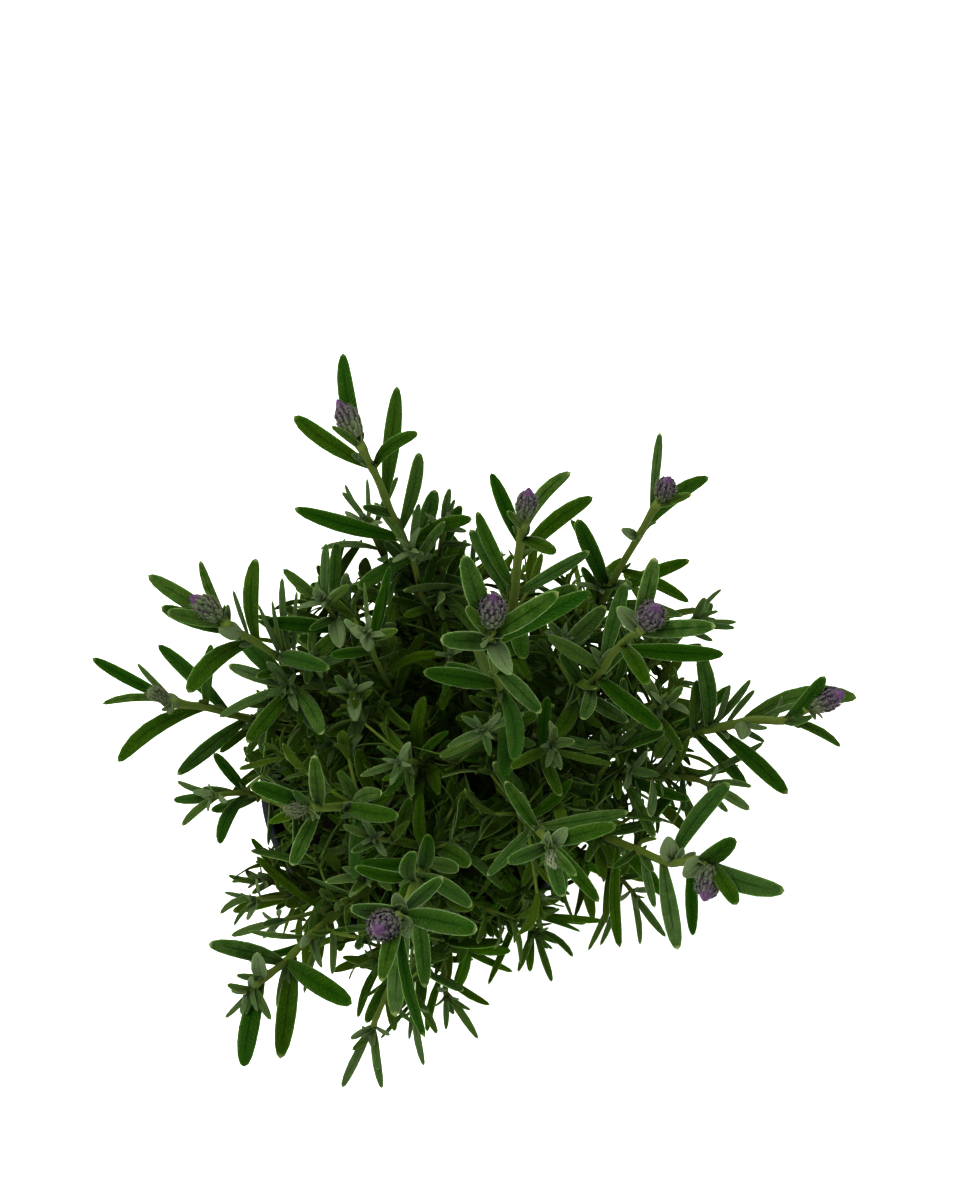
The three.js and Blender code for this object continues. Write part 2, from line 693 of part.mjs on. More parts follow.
function potSolid() {
  const floorRadius = potFootRadius - potWall;
  const lipFoot = potHeight - lipDepth;
  const profile = [
    [0, 0],
    [potFootRadius - footChamfer, 0],
    [potFootRadius, footChamfer],
    [potTopRadius, lipFoot],
    [rimRadius - 0.8, lipFoot],
    [rimRadius, lipFoot + 1.5],
    [rimRadius, potHeight - 1.2],
    [rimRadius - 1.2, potHeight],
    [rimRadius - lipWidth + 0.8, potHeight],
    [rimRadius - lipWidth, potHeight - 1.2],
    [potTopRadius - potWall, lipFoot - 2],
    [floorRadius, potFloor],
    [0, potFloor],
  ];
  const points = profile.map(([radius, z]) => new THREE.Vector2(radius, z));
  const shell = new THREE.LatheGeometry(points, potSides);
  shell.rotateX(Math.PI / 2);
  let solid = solidFrom(shell);
  for (let i = 0; i < drainHoleCount; i += 1) {
    const angle = (2 * Math.PI * (i + 0.5)) / drainHoleCount;
    const hole = new THREE.CylinderGeometry(drainHoleRadius, drainHoleRadius, 4 * potFloor, 10);
    hole.rotateX(Math.PI / 2);
    hole.translate(Math.cos(angle) * drainHoleCircle, Math.sin(angle) * drainHoleCircle, 0);
    solid = solid.subtract(solidFrom(hole));
  }
  return solid;
}

function soilSolid() {
  const top = potHeight - soilDrop;
  const wallTop = potHeight - lipDepth - 2;
  const inside = (z) => {
    const share = Math.min(1, (z - potFloor) / (wallTop - potFloor));
    return THREE.MathUtils.lerp(potFootRadius, potTopRadius, share) - potWall - 0.5;
  };
  const foot = potFloor + gap;
  const profile = [
    [0, foot],
    [inside(foot), foot],
    [inside(top - 1.5), top - 1.5],
    [inside(top) - 3, top],
    [30, top + 1],
    [0, top + soilMound],
  ];
  const points = profile.map(([radius, z]) => new THREE.Vector2(radius, z));
  const geometry = new THREE.LatheGeometry(points, soilSides);
  geometry.rotateX(Math.PI / 2);
  return solidFrom(geometry);
}

const pot = potSolid();
place(pot, "pot");
addMesh("pot", pot, colours.pot, 0.45);

const plans = [];
for (const [name, shoot] of Object.entries(floweringStems)) {
  const hidden = hiddenPairs.flowering;
  plans.push({ name: "stem_" + name, shoot, bud: readBud(shoot), width: floweringWidth, hidden });
}
for (const [name, shoot] of Object.entries(leafyShoots)) {
  plans.push({ name: "shoot_" + name, shoot, width: leafyWidth, hidden: hiddenPairs.leafy });
}
for (const [i, [x, y, top]] of innerShoots.entries()) {
  const inward = [x, y].map((v, k) => THREE.MathUtils.lerp(v, clumpMiddle[k], innerLean));
  const shoot = { top, stem: [[x, y], inward], leaves: [] };
  plans.push({ name: "shoot_inner_" + (i + 1), shoot, width: leafyWidth, hidden: hiddenPairs.inner });
}
plans.filter((plan) => plan.bud).forEach((plan) => place(budSolid(plan.bud, 0), plan.name));
const shoots = plans.map((plan, seed) => claimStem({ ...plan, seed }));
shoots.forEach(growReadLeaves);
shoots.forEach(growHiddenLeaves);
shoots.forEach(joinShoot);
for (const { name, bud } of shoots.filter((plan) => plan.bud)) {
  addMesh(name.replace("stem", "bud"), budSolid(bud, 0), colours.bud);
}

const soil = rooted.reduce((rest, stem) => rest.subtract(stem), soilSolid());
addMesh("soil", largestBody(soil), colours.soil, 1);

export default lavender;
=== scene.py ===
# A young lavender in a round black nursery pot, seen almost straight from above.
# Metres, +Z up, the origin in the middle of the pot's flat underside.
import math
import random

import bmesh
import bpy
from mathutils import Matrix, Vector, noise


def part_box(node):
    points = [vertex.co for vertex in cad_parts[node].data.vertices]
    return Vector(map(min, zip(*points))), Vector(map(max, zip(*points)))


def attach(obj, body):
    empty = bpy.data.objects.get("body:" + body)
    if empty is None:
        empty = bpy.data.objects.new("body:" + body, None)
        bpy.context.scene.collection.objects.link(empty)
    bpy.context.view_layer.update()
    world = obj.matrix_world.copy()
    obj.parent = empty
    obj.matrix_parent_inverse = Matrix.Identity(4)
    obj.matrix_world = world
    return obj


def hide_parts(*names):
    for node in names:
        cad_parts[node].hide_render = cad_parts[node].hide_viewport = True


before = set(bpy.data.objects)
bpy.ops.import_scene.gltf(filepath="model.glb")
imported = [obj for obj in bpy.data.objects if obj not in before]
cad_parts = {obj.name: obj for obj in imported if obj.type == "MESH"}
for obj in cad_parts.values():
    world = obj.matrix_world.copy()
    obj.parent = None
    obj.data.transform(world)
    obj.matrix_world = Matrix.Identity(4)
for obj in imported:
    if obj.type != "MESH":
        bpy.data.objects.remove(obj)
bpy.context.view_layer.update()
print("frame loaded:", len(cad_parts), "nodes")

mm = 0.001
upright = Vector((0, 0, 1))
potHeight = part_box("pot")[1].z
compostDrop = 14 * mm  # from the rim
soilTop = potHeight - compostDrop

# the photograph: 960 by 1200 pixels, x to the right and y down
photo = {
    "eyeAboveRim": 0.850,
    "focal": 2145,  # in pixels
    "middle": (480, 600),
    "potPixel": (425, 780),  # where the pot's middle shows
    "height": 1200,
    "sensor": 36,
    "tipHeights": (-16, 40),  # tried for a leaf's tip, in fortieths of its length above its foot
}

eye = Vector((0, 0, potHeight + photo["eyeAboveRim"]))
lookAcross = (photo["middle"][0] - photo["potPixel"][0]) / photo["focal"]
lookUp = (photo["potPixel"][1] - photo["middle"][1]) / photo["focal"]
forward = Vector((lookAcross, lookUp, -1)).normalized()
rightward = Vector((1, 0, lookAcross)).normalized()
upward = rightward.cross(forward)


def pointAt(x, y, height):
    # the point at a height above the rim that a picture point shows
    ray = forward + rightward * ((x - photo["middle"][0]) / photo["focal"])
    ray += upward * ((photo["middle"][1] - y) / photo["focal"])
    return eye + ray * ((potHeight + height - eye.z) / ray.z)


def pixelOf(point):
    # the picture point that shows a point
    seen = point - eye
    depth = seen.dot(forward) / photo["focal"]
    return Vector((photo["middle"][0] + seen.dot(rightward) / depth,
                   photo["middle"][1] - seen.dot(upward) / depth))


def widthAt(pixels, point):
    # how wide something is that shows this many pixels wide at a point
    return pixels * (point - eye).dot(forward) / photo["focal"]


def tipPoint(x, y, foot, length):
    # a tip of known distance from its foot: the highest such point on its line of sight
    footHeight = foot.z - potHeight
    best = pointAt(x, y, footHeight)
    lowest, highest = photo["tipHeights"]
    for step in range(lowest, highest + 1):
        candidate = pointAt(x, y, footHeight + length * step / highest)
        if (candidate - foot).length <= length:
            best = candidate
    return best


# Camera, floor and light

camera = bpy.data.objects.new("camera", bpy.data.cameras.new("camera"))
bpy.context.collection.objects.link(camera)
camera.data.sensor_width = photo["sensor"]
camera.data.lens = photo["sensor"] * photo["focal"] / photo["height"]
camera.data.clip_start = 0.05
camera.data.clip_end = 20
facing = Matrix((rightward, upward, -forward)).transposed().to_4x4()
camera.matrix_world = Matrix.Translation(eye) @ facing
bpy.context.scene.camera = camera

studio = {
    "floorSize": 8.0,
    "floorColor": (0.86, 0.86, 0.855),
    "worldColor": (1.0, 1.0, 0.985),
    "worldStrength": 0.84,
    "aim": (0, 0, 0.15),
    # place, width, power and colour of each soft box
    "boxes": [
        ((-0.85, 1.0, 1.8), 1.4, 50, (1.0, 0.985, 0.96)),
        ((1.3, -0.3, 1.7), 1.2, 15, (0.95, 0.975, 1.0)),
        ((-0.3, -1.5, 1.4), 1.2, 13, (1.0, 1.0, 1.0)),
    ],
}


def makeStudio():
    for place, width, power, color in studio["boxes"]:
        lamp = bpy.data.lights.new("softBox", "AREA")
        lamp.size = width
        lamp.energy = power
        lamp.color = color
        box = bpy.data.objects.new("softBox", lamp)
        bpy.context.collection.objects.link(box)
        box.location = place
        aim = Vector(studio["aim"]) - box.location
        box.rotation_euler = aim.to_track_quat("-Z", "Y").to_euler()
    world = bpy.data.worlds.new("studio")
    world.use_nodes = True
    sky = world.node_tree.nodes["Background"]
    sky.inputs["Color"].default_value = (*studio["worldColor"], 1)
    sky.inputs["Strength"].default_value = studio["worldStrength"]
    bpy.context.scene.world = world
    view = bpy.context.scene.view_settings
    view.view_transform = "Standard"
    view.look = "High Contrast"  # as the photograph's own dark, saturated shadows


# Shader expressions

class Flow:
    # one socket of a node tree; an operator between two of them adds a Math node
    def __init__(self, tree, socket=None):
        self.tree = tree
        self.socket = socket

    def node(self, kind, settings=None, sockets=None, out=0):
        made = self.tree.nodes.new("ShaderNode" + kind)
        for name, value in (settings or {}).items():
            setattr(made, name, value)
        for name, value in (sockets or {}).items():
            if isinstance(value, Flow):
                self.tree.links.new(value.socket, made.inputs[name])
            else:
                made.inputs[name].default_value = value
        return Flow(self.tree, made.outputs[out])

    def math(self, operation, first, second):
        return self.node("Math", {"operation": operation}, {0: first, 1: second})

    def __add__(self, other):
        return self.math("ADD", self, other)

    def __sub__(self, other):
        return self.math("SUBTRACT", self, other)

    def __rsub__(self, other):
        return self.math("SUBTRACT", other, self)

    def __mul__(self, other):
        return self.math("MULTIPLY", self, other)

    __radd__ = __add__
    __rmul__ = __mul__

    def size(self):
        return self.math("ABSOLUTE", self, 0)

    def wave(self):
        return self.math("SINE", self, 0)

    def rise(self, low, high):
        # 0 below low and 1 above high, with a soft step between
        span = {"From Min": low, "From Max": high}
        return self.node("MapRange", {"interpolation_type": "SMOOTHSTEP"}, {"Value": self, **span})

    def mix(self, low, high):
        # low where this is 0 and high where it is 1, for two colours
        low, high = [c if isinstance(c, Flow) else (*c, 1) for c in (low, high)]
        return self.node("Mix", {"data_type": "RGBA"}, {0: self, 6: low, 7: high}, out=2)

    def parts(self):
        split = self.node("SeparateXYZ", sockets={0: self}).socket.node
        return [Flow(self.tree, socket) for socket in split.outputs]

    def attribute(self, name):
        return self.node("Attribute", {"attribute_name": name}, out=1)

    def grain(self, scale, detail=3, roughness=0.55):
        place = self.node("TexCoord", out=3)
        sockets = {"Vector": place, "Scale": scale, "Detail": detail, "Roughness": roughness}
        return self.node("TexNoise", sockets=sockets)

    def bump(self, strength, distance, below=None):
        sockets = {"Height": self, "Strength": strength, "Distance": distance}
        if below:
            sockets["Normal"] = below
        return self.node("Bump", sockets=sockets)


def newMaterial(name, finish):
    # a principled material: fixed values now, and what varies through the returned function
    material = bpy.data.materials.new(name)
    material.use_nodes = True
    tree = material.node_tree
    shader = tree.nodes["Principled BSDF"]
    for socket, value in finish.items():
        shader.inputs[socket].default_value = value

    def feed(**varying):
        for socket, value in varying.items():
            tree.links.new(value.socket, shader.inputs[socket.replace("_", " ")])
        return material

    return Flow(tree), feed


# Materials

leafLook = {
    "deep": (0.0070, 0.0350, 0.0002),
    "fresh": (0.0360, 0.0620, 0.0005),
    # pale green of the hairs, also painted as sheen on the leaf's quilted bulges and margins
    "pale": (0.066, 0.104, 0.014),
    "felt": (0.084, 0.116, 0.050),
    # painted light: the brighter, greener colour given to leaves deep in the clump, in place of
    # the green light that reaches them through the leaves above
    "inner": (0.0320, 0.1050, 0.0003),
    "young": (0.086, 0.118, 0.058),
    # the pale grey-green of the hairs, also painted along the margins as the sheen of the hairs at
    # the leaf's curved-away edge
    "edge": (0.185, 0.222, 0.145),
    # painted shade: the dark line of the sunken midrib, as shade in its groove
    "rib": (0.0060, 0.0220, 0.0003),
    "tip": (0.190, 0.220, 0.100),
    "finish": {
        "Specular IOR Level": 0.02, "Sheen Weight": 0.05, "Sheen Roughness": 0.35,
        "Sheen Tint": (0.85, 1.0, 0.60, 1.0), "Subsurface Weight": 0.3,
        "Subsurface Scale": 0.6 * mm, "Subsurface Radius": (0.4, 1.0, 0.1),
    },
    "sideVeins": 19,
    "veinSweep": 2.2,
    # how much paler the quilted bulges and the margins are: their pale hairs, and painted sheen
    # where these curved parts catch the light
    "quilting": 0.11,
    "marginSheen": 0.12,
    "grains": [(260, 4), (1500, 3), (5200, 2)],  # scale and detail of blotches, grain and hairs
}


def leafMaterial():
    # place: across, along and over the leaf; look: youth, tone and a number of its own. Tone is
    # raised for leaves inside the clump, so they take the painted light of the fresh and inner
    # greens
    flow, feed = newMaterial("feltedLeaf", leafLook["finish"])
    across, along, over = flow.attribute("place").parts()
    youth, tone, own = flow.attribute("look").parts()
    outward = across.size()
    under = (0 - over).rise(-0.05, 0.3)
    blotch, fine, hairs = [flow.grain(*grain) for grain in leafLook["grains"]]
    # tone is partly random for each leaf and partly raised by shade inside the clump, so the
    # fresher green there is partly painted light
    depth = (tone * 0.75 + (blotch - 0.5) * 0.5 + (fine - 0.5) * 0.6).rise(0.0, 0.85)
    mature = depth.mix(leafLook["deep"], leafLook["fresh"])
    # painted light: leaves deep in the clump, whose tone is raised by their shade, turn the
    # brighter inner green
    mature = (tone.rise(0.7, 1.6) * 0.9).mix(mature, leafLook["inner"])
    # the quilting between side veins, which sweep forward from the rib
    sweep = along * leafLook["sideVeins"] - outward * leafLook["veinSweep"]
    sweep = sweep + own * 3 + blotch * 2.4
    sweep = sweep * (2 * math.pi)
    quilt = (sweep.wave() * 0.5 + 0.5) * outward.rise(0.05, 0.3) * (1 - outward.rise(0.75, 0.95))
    # paler on the quilted bulges and towards the margins: partly the pale hairs there, partly
    # painted sheen where these rounded parts catch the light
    hairsAndSheen = quilt * leafLook["quilting"] + outward.rise(0.3, 0.9) * leafLook["marginSheen"]
    mature = hairsAndSheen.mix(mature, leafLook["pale"])
    upper = (youth + fine * 0.2 - 0.1).rise(0.0, 1.0).mix(mature, leafLook["young"])
    bloom = own.rise(0.55, 0.95) * (blotch.rise(0.3, 0.7) * 0.3 + 0.1)
    upper = bloom.mix(upper, leafLook["felt"])
    rib = (1 - outward.rise(0.02, 0.10)) * (1 - along.rise(0.7, 0.95))
    # painted shade: the sunken midrib darkened on the upper side, as shade in its groove
    upper = (rib * own * (0.75 - youth * 0.65)).mix(upper, leafLook["rib"])
    upper = ((1 - along.rise(0.0, 0.22)) * 0.45).mix(upper, leafLook["fresh"])
    lower = (tone * 0.4 + rib * 0.3 + fine * 0.2).mix(leafLook["fresh"], leafLook["pale"])
    lower = (own.rise(0.4, 1.0) * 0.5).mix(lower, leafLook["felt"])
    color = under.mix(upper, lower)
    # pale rim along the margins: partly the real pale hairs there, partly painted sheen where the
    # hairs catch the light at the edge that curves away
    edge = (outward + (fine - 0.5) * 0.12).rise(0.84, 1.0) * (own * 0.65 + 0.25)
    color = edge.mix(color, leafLook["edge"])
    color = (along.rise(0.94, 0.99) * own * 0.9).mix(color, leafLook["tip"])
    color = (hairs.rise(0.56, 0.72) * (youth * 0.35 + 0.02)).mix(color, leafLook["edge"])
    relief = quilt * 0.5 - rib * 0.9 + fine * 0.9
    normal = relief.bump(0.85, 0.42 * mm, flow.grain(150, 2).bump(0.6, 1.2 * mm))
    normal = hairs.bump(0.2, 0.06 * mm, normal)
    rough = 0.40 + youth * 0.25 + under * 0.3 + fine * 0.12
    return feed(Base_Color=color, Roughness=rough, Normal=normal)


stemLook = {
    "green": (0.038, 0.068, 0.005),
    "pale": (0.074, 0.100, 0.024),
    "woody": (0.042, 0.058, 0.010),
    "finish": {"Specular IOR Level": 0.06, "Subsurface Weight": 0.2, "Subsurface Scale": 0.8 * mm},
    "grains": [(420, 4), (4300, 2)],  # streaks and hairs
}


def stemMaterial():
    # place: round the stem, along it from 0 at the compost to 1, and how near a joint
    flow, feed = newMaterial("ridgedStem", stemLook["finish"])
    around, along, joint = flow.attribute("place").parts()
    streak, hairs = [flow.grain(*grain) for grain in stemLook["grains"]]
    color = (along * 0.6 + streak * 0.5).rise(0.25, 0.95).mix(stemLook["green"], stemLook["pale"])
    color = ((1 - along.rise(0.12, 0.42)) * streak.rise(0.25, 0.6)).mix(color, stemLook["woody"])
    color = (joint * 0.5).mix(color, stemLook["pale"])
    color = (hairs.rise(0.55, 0.7) * 0.4).mix(color, stemLook["pale"])
    normal = hairs.bump(0.25, 0.08 * mm, streak.bump(0.4, 0.3 * mm))
    return feed(Base_Color=color, Roughness=0.55 + streak * 0.25, Normal=normal)


budLook = {
    "foot": (0.046, 0.066, 0.026),
    "scale": (0.028, 0.016, 0.030),
    "dark": (0.010, 0.008, 0.010),
    "tip": (0.066, 0.030, 0.074),
    "felt": (0.160, 0.185, 0.115),
    "hair": (0.185, 0.165, 0.190),
    "finish": {"Specular IOR Level": 0.12, "Sheen Weight": 0.05, "Sheen Roughness": 0.5,
               "Subsurface Weight": 0.08, "Subsurface Scale": 0.5 * mm},
    "grains": [(2100, 3), (6500, 2)],  # grain and hairs
}


def budMaterial():
    # place: across, along and over each scale; look: its height up the bud, tone and a number
    flow, feed = newMaterial("budScales", budLook["finish"])
    across, along, over = flow.attribute("place").parts()
    height, tone, own = flow.attribute("look").parts()
    outward = across.size()
    fine, hairs = [flow.grain(*grain) for grain in budLook["grains"]]
    purple = (height * 0.9 + along * 0.35 + (fine - 0.5) * 0.4).rise(0.25, 0.8)
    color = purple.mix(budLook["foot"], budLook["scale"])
    crown = height.rise(0.8, 1.0)
    color = (crown * along.rise(0.2, 0.6)).mix(color, budLook["tip"])
    hair = purple.mix(budLook["felt"], budLook["hair"])
    ridge = 1 - outward.rise(0.05, 0.55)
    gap = outward.rise(0.35, 0.8) * (purple * 0.5 + 0.1) * (1 - crown * 0.7)
    color = gap.mix(color, budLook["dark"])
    color = (ridge * fine.rise(0.38, 0.58) * (0.4 - crown * 0.2)).mix(color, hair)
    color = (along.rise(0.78, 0.95) * (1 - crown) * 0.35).mix(color, hair)
    color = (hairs.rise(0.50, 0.66) * (0.35 - crown * 0.1)).mix(color, hair)
    color = ((0 - height).rise(0.0, 0.2) * (0.6 + fine * 0.5)).mix(color, budLook["felt"])
    color = (tone.rise(1.2, 1.8) * 0.9).mix(color, hair)
    normal = hairs.bump(0.6, 0.14 * mm, (fine + ridge * 0.7).bump(0.6, 0.25 * mm))
    return feed(Base_Color=color, Roughness=0.7 + tone * 0.15, Normal=normal)


potLook = {
    "plastic": (0.0030, 0.0050, 0.0068),
    "scuff": (0.018, 0.022, 0.026),
    "dust": (0.075, 0.062, 0.048),
    "finish": {"Specular IOR Level": 0.32, "Coat Roughness": 0.5},
    "grains": [(38, 5), (900, 3), (2600, 2)],  # clouds, grit and moulded grain
}


def potMaterial():
    flow, feed = newMaterial("mouldedPlastic", potLook["finish"])
    x, y, z = flow.node("TexCoord", out=3).parts()
    cloud, grit, leather = [flow.grain(*grain) for grain in potLook["grains"]]
    lip = z.rise(potHeight - 12 * mm, potHeight - 2 * mm)
    low = 1 - z.rise(0.0, 16 * mm)
    color = (cloud.rise(0.45, 0.75) * 0.5).mix(potLook["plastic"], potLook["scuff"])
    dust = (cloud.rise(0.4, 0.7) * grit.rise(0.5, 0.66)) * (lip * 0.5 + low * 0.6 + 0.12)
    color = dust.mix(color, potLook["dust"])
    rough = 0.34 + cloud * 0.14 + dust * 0.4
    normal = leather.bump(0.12, 0.05 * mm, grit.bump(0.06, 0.08 * mm))
    return feed(Base_Color=color, Roughness=rough, Normal=normal)


soilLook = {
    "wet": (0.0040, 0.0030, 0.0023),
    "peat": (0.0140, 0.0095, 0.0060),
    "bark": (0.042, 0.027, 0.015),
    "finish": {"Specular IOR Level": 0.3},
    "grains": [(190, 5), (1100, 4)],  # clods and grit
}


def soilMaterial():
    flow, feed = newMaterial("peatCompost", soilLook["finish"])
    clod, grit = [flow.grain(*grain) for grain in soilLook["grains"]]
    color = (clod * 0.6 + grit * 0.5).rise(0.4, 0.75).mix(soilLook["wet"], soilLook["peat"])
    color = (grit.rise(0.62, 0.72) * 0.55).mix(color, soilLook["bark"])
    normal = grit.bump(0.7, 0.5 * mm, clod.bump(0.8, 1.5 * mm))
    return feed(Base_Color=color, Roughness=0.78 + grit * 0.2, Normal=normal)


def floorMaterial():
    flow, feed = newMaterial("paleFloor", {"Specular IOR Level": 0.2})
    cloud = flow.grain(3, 2)
    shade = [c * 0.985 for c in studio["floorColor"]]
    return feed(Base_Color=cloud.mix(studio["floorColor"], shade), Roughness=0.7 + cloud * 0.1)


materials = {
    "leaf": leafMaterial(),
    "stem": stemMaterial(),
    "bud": budMaterial(),
    "pot": potMaterial(),
    "soil": soilMaterial(),
    "floor": floorMaterial(),
}
print("materials made:", len(materials))


def newPiece(name, bm, surfaces):
    mesh = bpy.data.meshes.new(name)
    for face in bm.faces:
        face.smooth = True
    bm.to_mesh(mesh)
    bm.free()
    for surface in surfaces:
        mesh.materials.append(materials[surface])
    piece = bpy.data.objects.new(name, mesh)
    bpy.context.collection.objects.link(piece)
    return piece


def settle(piece, slot, *nodes):
    # rides with the whole plant and stands for its CAD solids
    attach(piece, "root")
    if nodes:
        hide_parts(*nodes)


def makeFloor():
    bm = bmesh.new()
    bmesh.ops.create_grid(bm, x_segments=2, y_segments=2, size=studio["floorSize"] / 2)
    floor = newPiece("floor", bm, ["floor"])


makeStudio()
makeFloor()
print("camera, floor and light ready")


# The plant

# Flowering stems, as read from the picture, in pixels.
# top: height of the bud's foot above the rim, in metres.
# ripe: how far the bud has coloured; below 0 it is still grey with felt.
# bud: tip x, y, foot x, y and width.
# stem: picture points from the bud down to where the leaves hide it.
# leaves: tip x, y, foot x, y and width of each leaf that can be followed, and for a curved one
# how far it bows, as a share of its length, to the left of its way from foot to tip.
# A leaf that shows less than twice as long as wide is a young oval one seen nearly end on.
floweringStems = {
    "top_left": {
        "top": 0.168, "ripe": 0.75, "bud": (337, 399, 357, 438, 25),
        "stem": [(359, 443), (369, 462), (379, 482), (391, 513), (412, 559), (422, 590)],
        "leaves": [
            (343, 353, 361, 444, 18, 0.05), (294, 416, 367, 471, 18, 0.06),
            (331, 426, 361, 452, 10), (418, 433, 378, 468, 14, 0.07), (397, 386, 385, 496, 19),
            (419, 452, 400, 530, 15, -0.05), (294, 508, 400, 540, 19, 0.03),
            (472, 519, 408, 546, 16, 0.07), (362, 507, 388, 516, 12)]},
    "left": {
        "top": 0.150, "ripe": 0.35, "bud": (190, 596, 219, 617, 25),
        "stem": [(223, 621), (238, 632), (259, 644), (277, 656), (318, 676)],
        "leaves": [
            (148, 575, 214, 613, 18), (200, 560, 222, 618, 11, 0.03), (161, 607, 234, 636, 17),
            (218, 629, 242, 633, 19), (167, 612, 224, 621, 15),
            (188, 693, 252, 644, 20, -0.08), (256, 558, 259, 642, 17, 0.08),
            (330, 669, 276, 658, 19), (233, 590, 250, 636, 6), (282, 577, 292, 660, 8, 0.03),
            (297, 590, 296, 662, 6), (272, 600, 284, 658, 6), (258, 604, 282, 656, 6)]},
    "far_left": {
        "top": 0.108, "ripe": 0.05, "bud": (149, 691, 166, 698, 14),
        "stem": [(170, 700), (182, 704), (206, 707), (228, 713), (268, 724)],
        "leaves": [
            (92, 658, 164, 696, 13, 0.03), (137, 663, 172, 700, 7, 0.04),
            (102, 704, 170, 702, 9, -0.07), (118, 762, 205, 708, 18, -0.07),
            (158, 645, 230, 712, 16), (211, 644, 206, 706, 13), (177, 775, 244, 729, 17),
            (158, 699, 181, 703, 18)]},
    "left_inner": {
        "top": 0.165, "ripe": 0.05, "bud": (285, 810, 305, 809, 15),
        "stem": [(309, 808), (320, 808), (345, 806), (398, 802)],
        "leaves": [
            (314, 755, 319, 806, 17), (250, 785, 312, 810, 17), (292, 866, 319, 812, 16),
            (399, 816, 345, 807, 19), (269, 823, 308, 813, 11), (293, 790, 310, 806, 10)]},
    "bottom": {
        "top": 0.215, "ripe": 0.8, "bud": (375, 931, 391, 921, 32),
        "stem": [(396, 918), (403, 914), (412, 890), (430, 850)],
        "leaves": [
            (350, 908, 402, 911, 19), (478, 930, 402, 914, 24), (443, 877, 405, 910, 16),
            (381, 982, 400, 920, 18), (395, 1017, 407, 902, 21),
            (425, 1038, 399, 916, 13, -0.06), (425, 988, 414, 888, 17),
            (395, 893, 402, 912, 14), (410, 938, 400, 916, 22)]},
    "lower_middle": {
        "top": 0.185, "ripe": -0.5, "bud": (558, 873, 551, 851, 16),
        "stem": [(551, 849), (548, 843), (534, 826), (506, 800)],
        "leaves": [
            (507, 862, 549, 845, 15), (617, 825, 549, 845, 18), (567, 827, 551, 848, 14),
            (563, 897, 551, 849, 15), (577, 876, 551, 848, 12), (599, 902, 540, 834, 15),
            (487, 876, 534, 826, 14), (505, 781, 538, 832, 15), (629, 812, 536, 828, 15)]},
    "lower_right": {
        "top": 0.176, "ripe": 0.7, "bud": (704, 901, 712, 868, 27),
        "stem": [(711, 863), (697, 860), (668, 862), (640, 851), (600, 834)],
        "leaves": [
            (735, 838, 700, 860, 20), (785, 891, 706, 861, 22, -0.05),
            (737, 905, 710, 863, 17), (693, 936, 692, 861, 14),
            (678, 950, 664, 861, 18, -0.02), (730, 783, 670, 861, 19, 0.07),
            (620, 948, 620, 844, 12, -0.04), (668, 836, 671, 861, 22),
            (683, 877, 702, 863, 22), (683, 847, 676, 861, 9), (696, 852, 682, 861, 9),
            (653, 872, 640, 853, 9), (655, 908, 641, 852, 10), (612, 868, 636, 850, 9)]},
    "far_right": {
        "top": 0.128, "ripe": 1.0, "bud": (845, 692, 813, 705, 26),
        "stem": [(808, 707), (785, 720), (755, 720), (730, 725), (700, 731), (650, 738)],
        "leaves": [
            (825, 676, 786, 719, 16), (857, 698, 745, 722, 22, 0.10),
            (841, 747, 786, 720, 11, 0.05), (788, 794, 714, 730, 18), (700, 652, 707, 728, 18),
            (741, 740, 741, 716, 19), (751, 679, 708, 724, 9), (730, 684, 714, 728, 7),
            (782, 696, 752, 718, 7, -0.25), (806, 703, 757, 719, 7, 0.04),
            (768, 728, 746, 722, 7, -0.1), (813, 716, 782, 721, 9, -0.05),
            (755, 690, 722, 715, 7, 0.05), (770, 706, 738, 720, 6), (765, 742, 730, 731, 7)]},
    "right": {
        "top": 0.188, "ripe": 0.85, "bud": (657, 606, 646, 624, 29),
        "stem": [(643, 628), (628, 638), (612, 655), (601, 671), (575, 700)],
        "leaves": [
            (655, 557, 638, 632, 18), (716, 626, 638, 632, 19), (617, 607, 640, 630, 17),
            (648, 685, 622, 645, 17), (724, 654, 618, 648, 19), (626, 582, 601, 670, 16),
            (548, 636, 604, 668, 17)]},
    "top_right": {
        "top": 0.165, "ripe": 0.75, "bud": (669, 477, 663, 498, 21),
        "stem": [(660, 501), (652, 512), (639, 536), (621, 566), (606, 595), (588, 625)],
        "leaves": [
            (660, 432, 652, 512, 10), (709, 477, 641, 534, 17, 0.07), (692, 494, 655, 508, 10),
            (577, 519, 608, 590, 18), (621, 529, 637, 540, 11), (690, 560, 606, 597, 15),
            (689, 602, 619, 569, 13)]},
    "top_middle": {
        "top": 0.188, "ripe": 0.75, "bud": (529, 488, 524, 517, 22),
        "stem": [(523, 522), (521, 540), (518, 558), (515, 590), (508, 625)],
        "leaves": [
            (491, 473, 520, 544, 16), (571, 472, 522, 535, 15, 0.09),
            (593, 497, 518, 560, 18, 0.03), (556, 553, 521, 540, 15), (507, 511, 522, 528, 9),
            (477, 511, 515, 590, 15, 0.06), (590, 551, 514, 594, 14), (470, 529, 512, 604, 15)]},
    "middle": {
        "top": 0.228, "ripe": 0.7, "bud": (493, 594, 491, 624, 30),
        "stem": [(490, 632), (493, 646), (499, 680), (502, 705), (497, 735)],
        "leaves": [
            (464, 555, 491, 636, 23), (559, 592, 491, 636, 21), (590, 592, 493, 644, 21),
            (440, 640, 493, 644, 20), (511, 675, 490, 641, 21), (541, 713, 501, 670, 19),
            (423, 672, 499, 684, 21), (466, 606, 490, 634, 13)]},
}

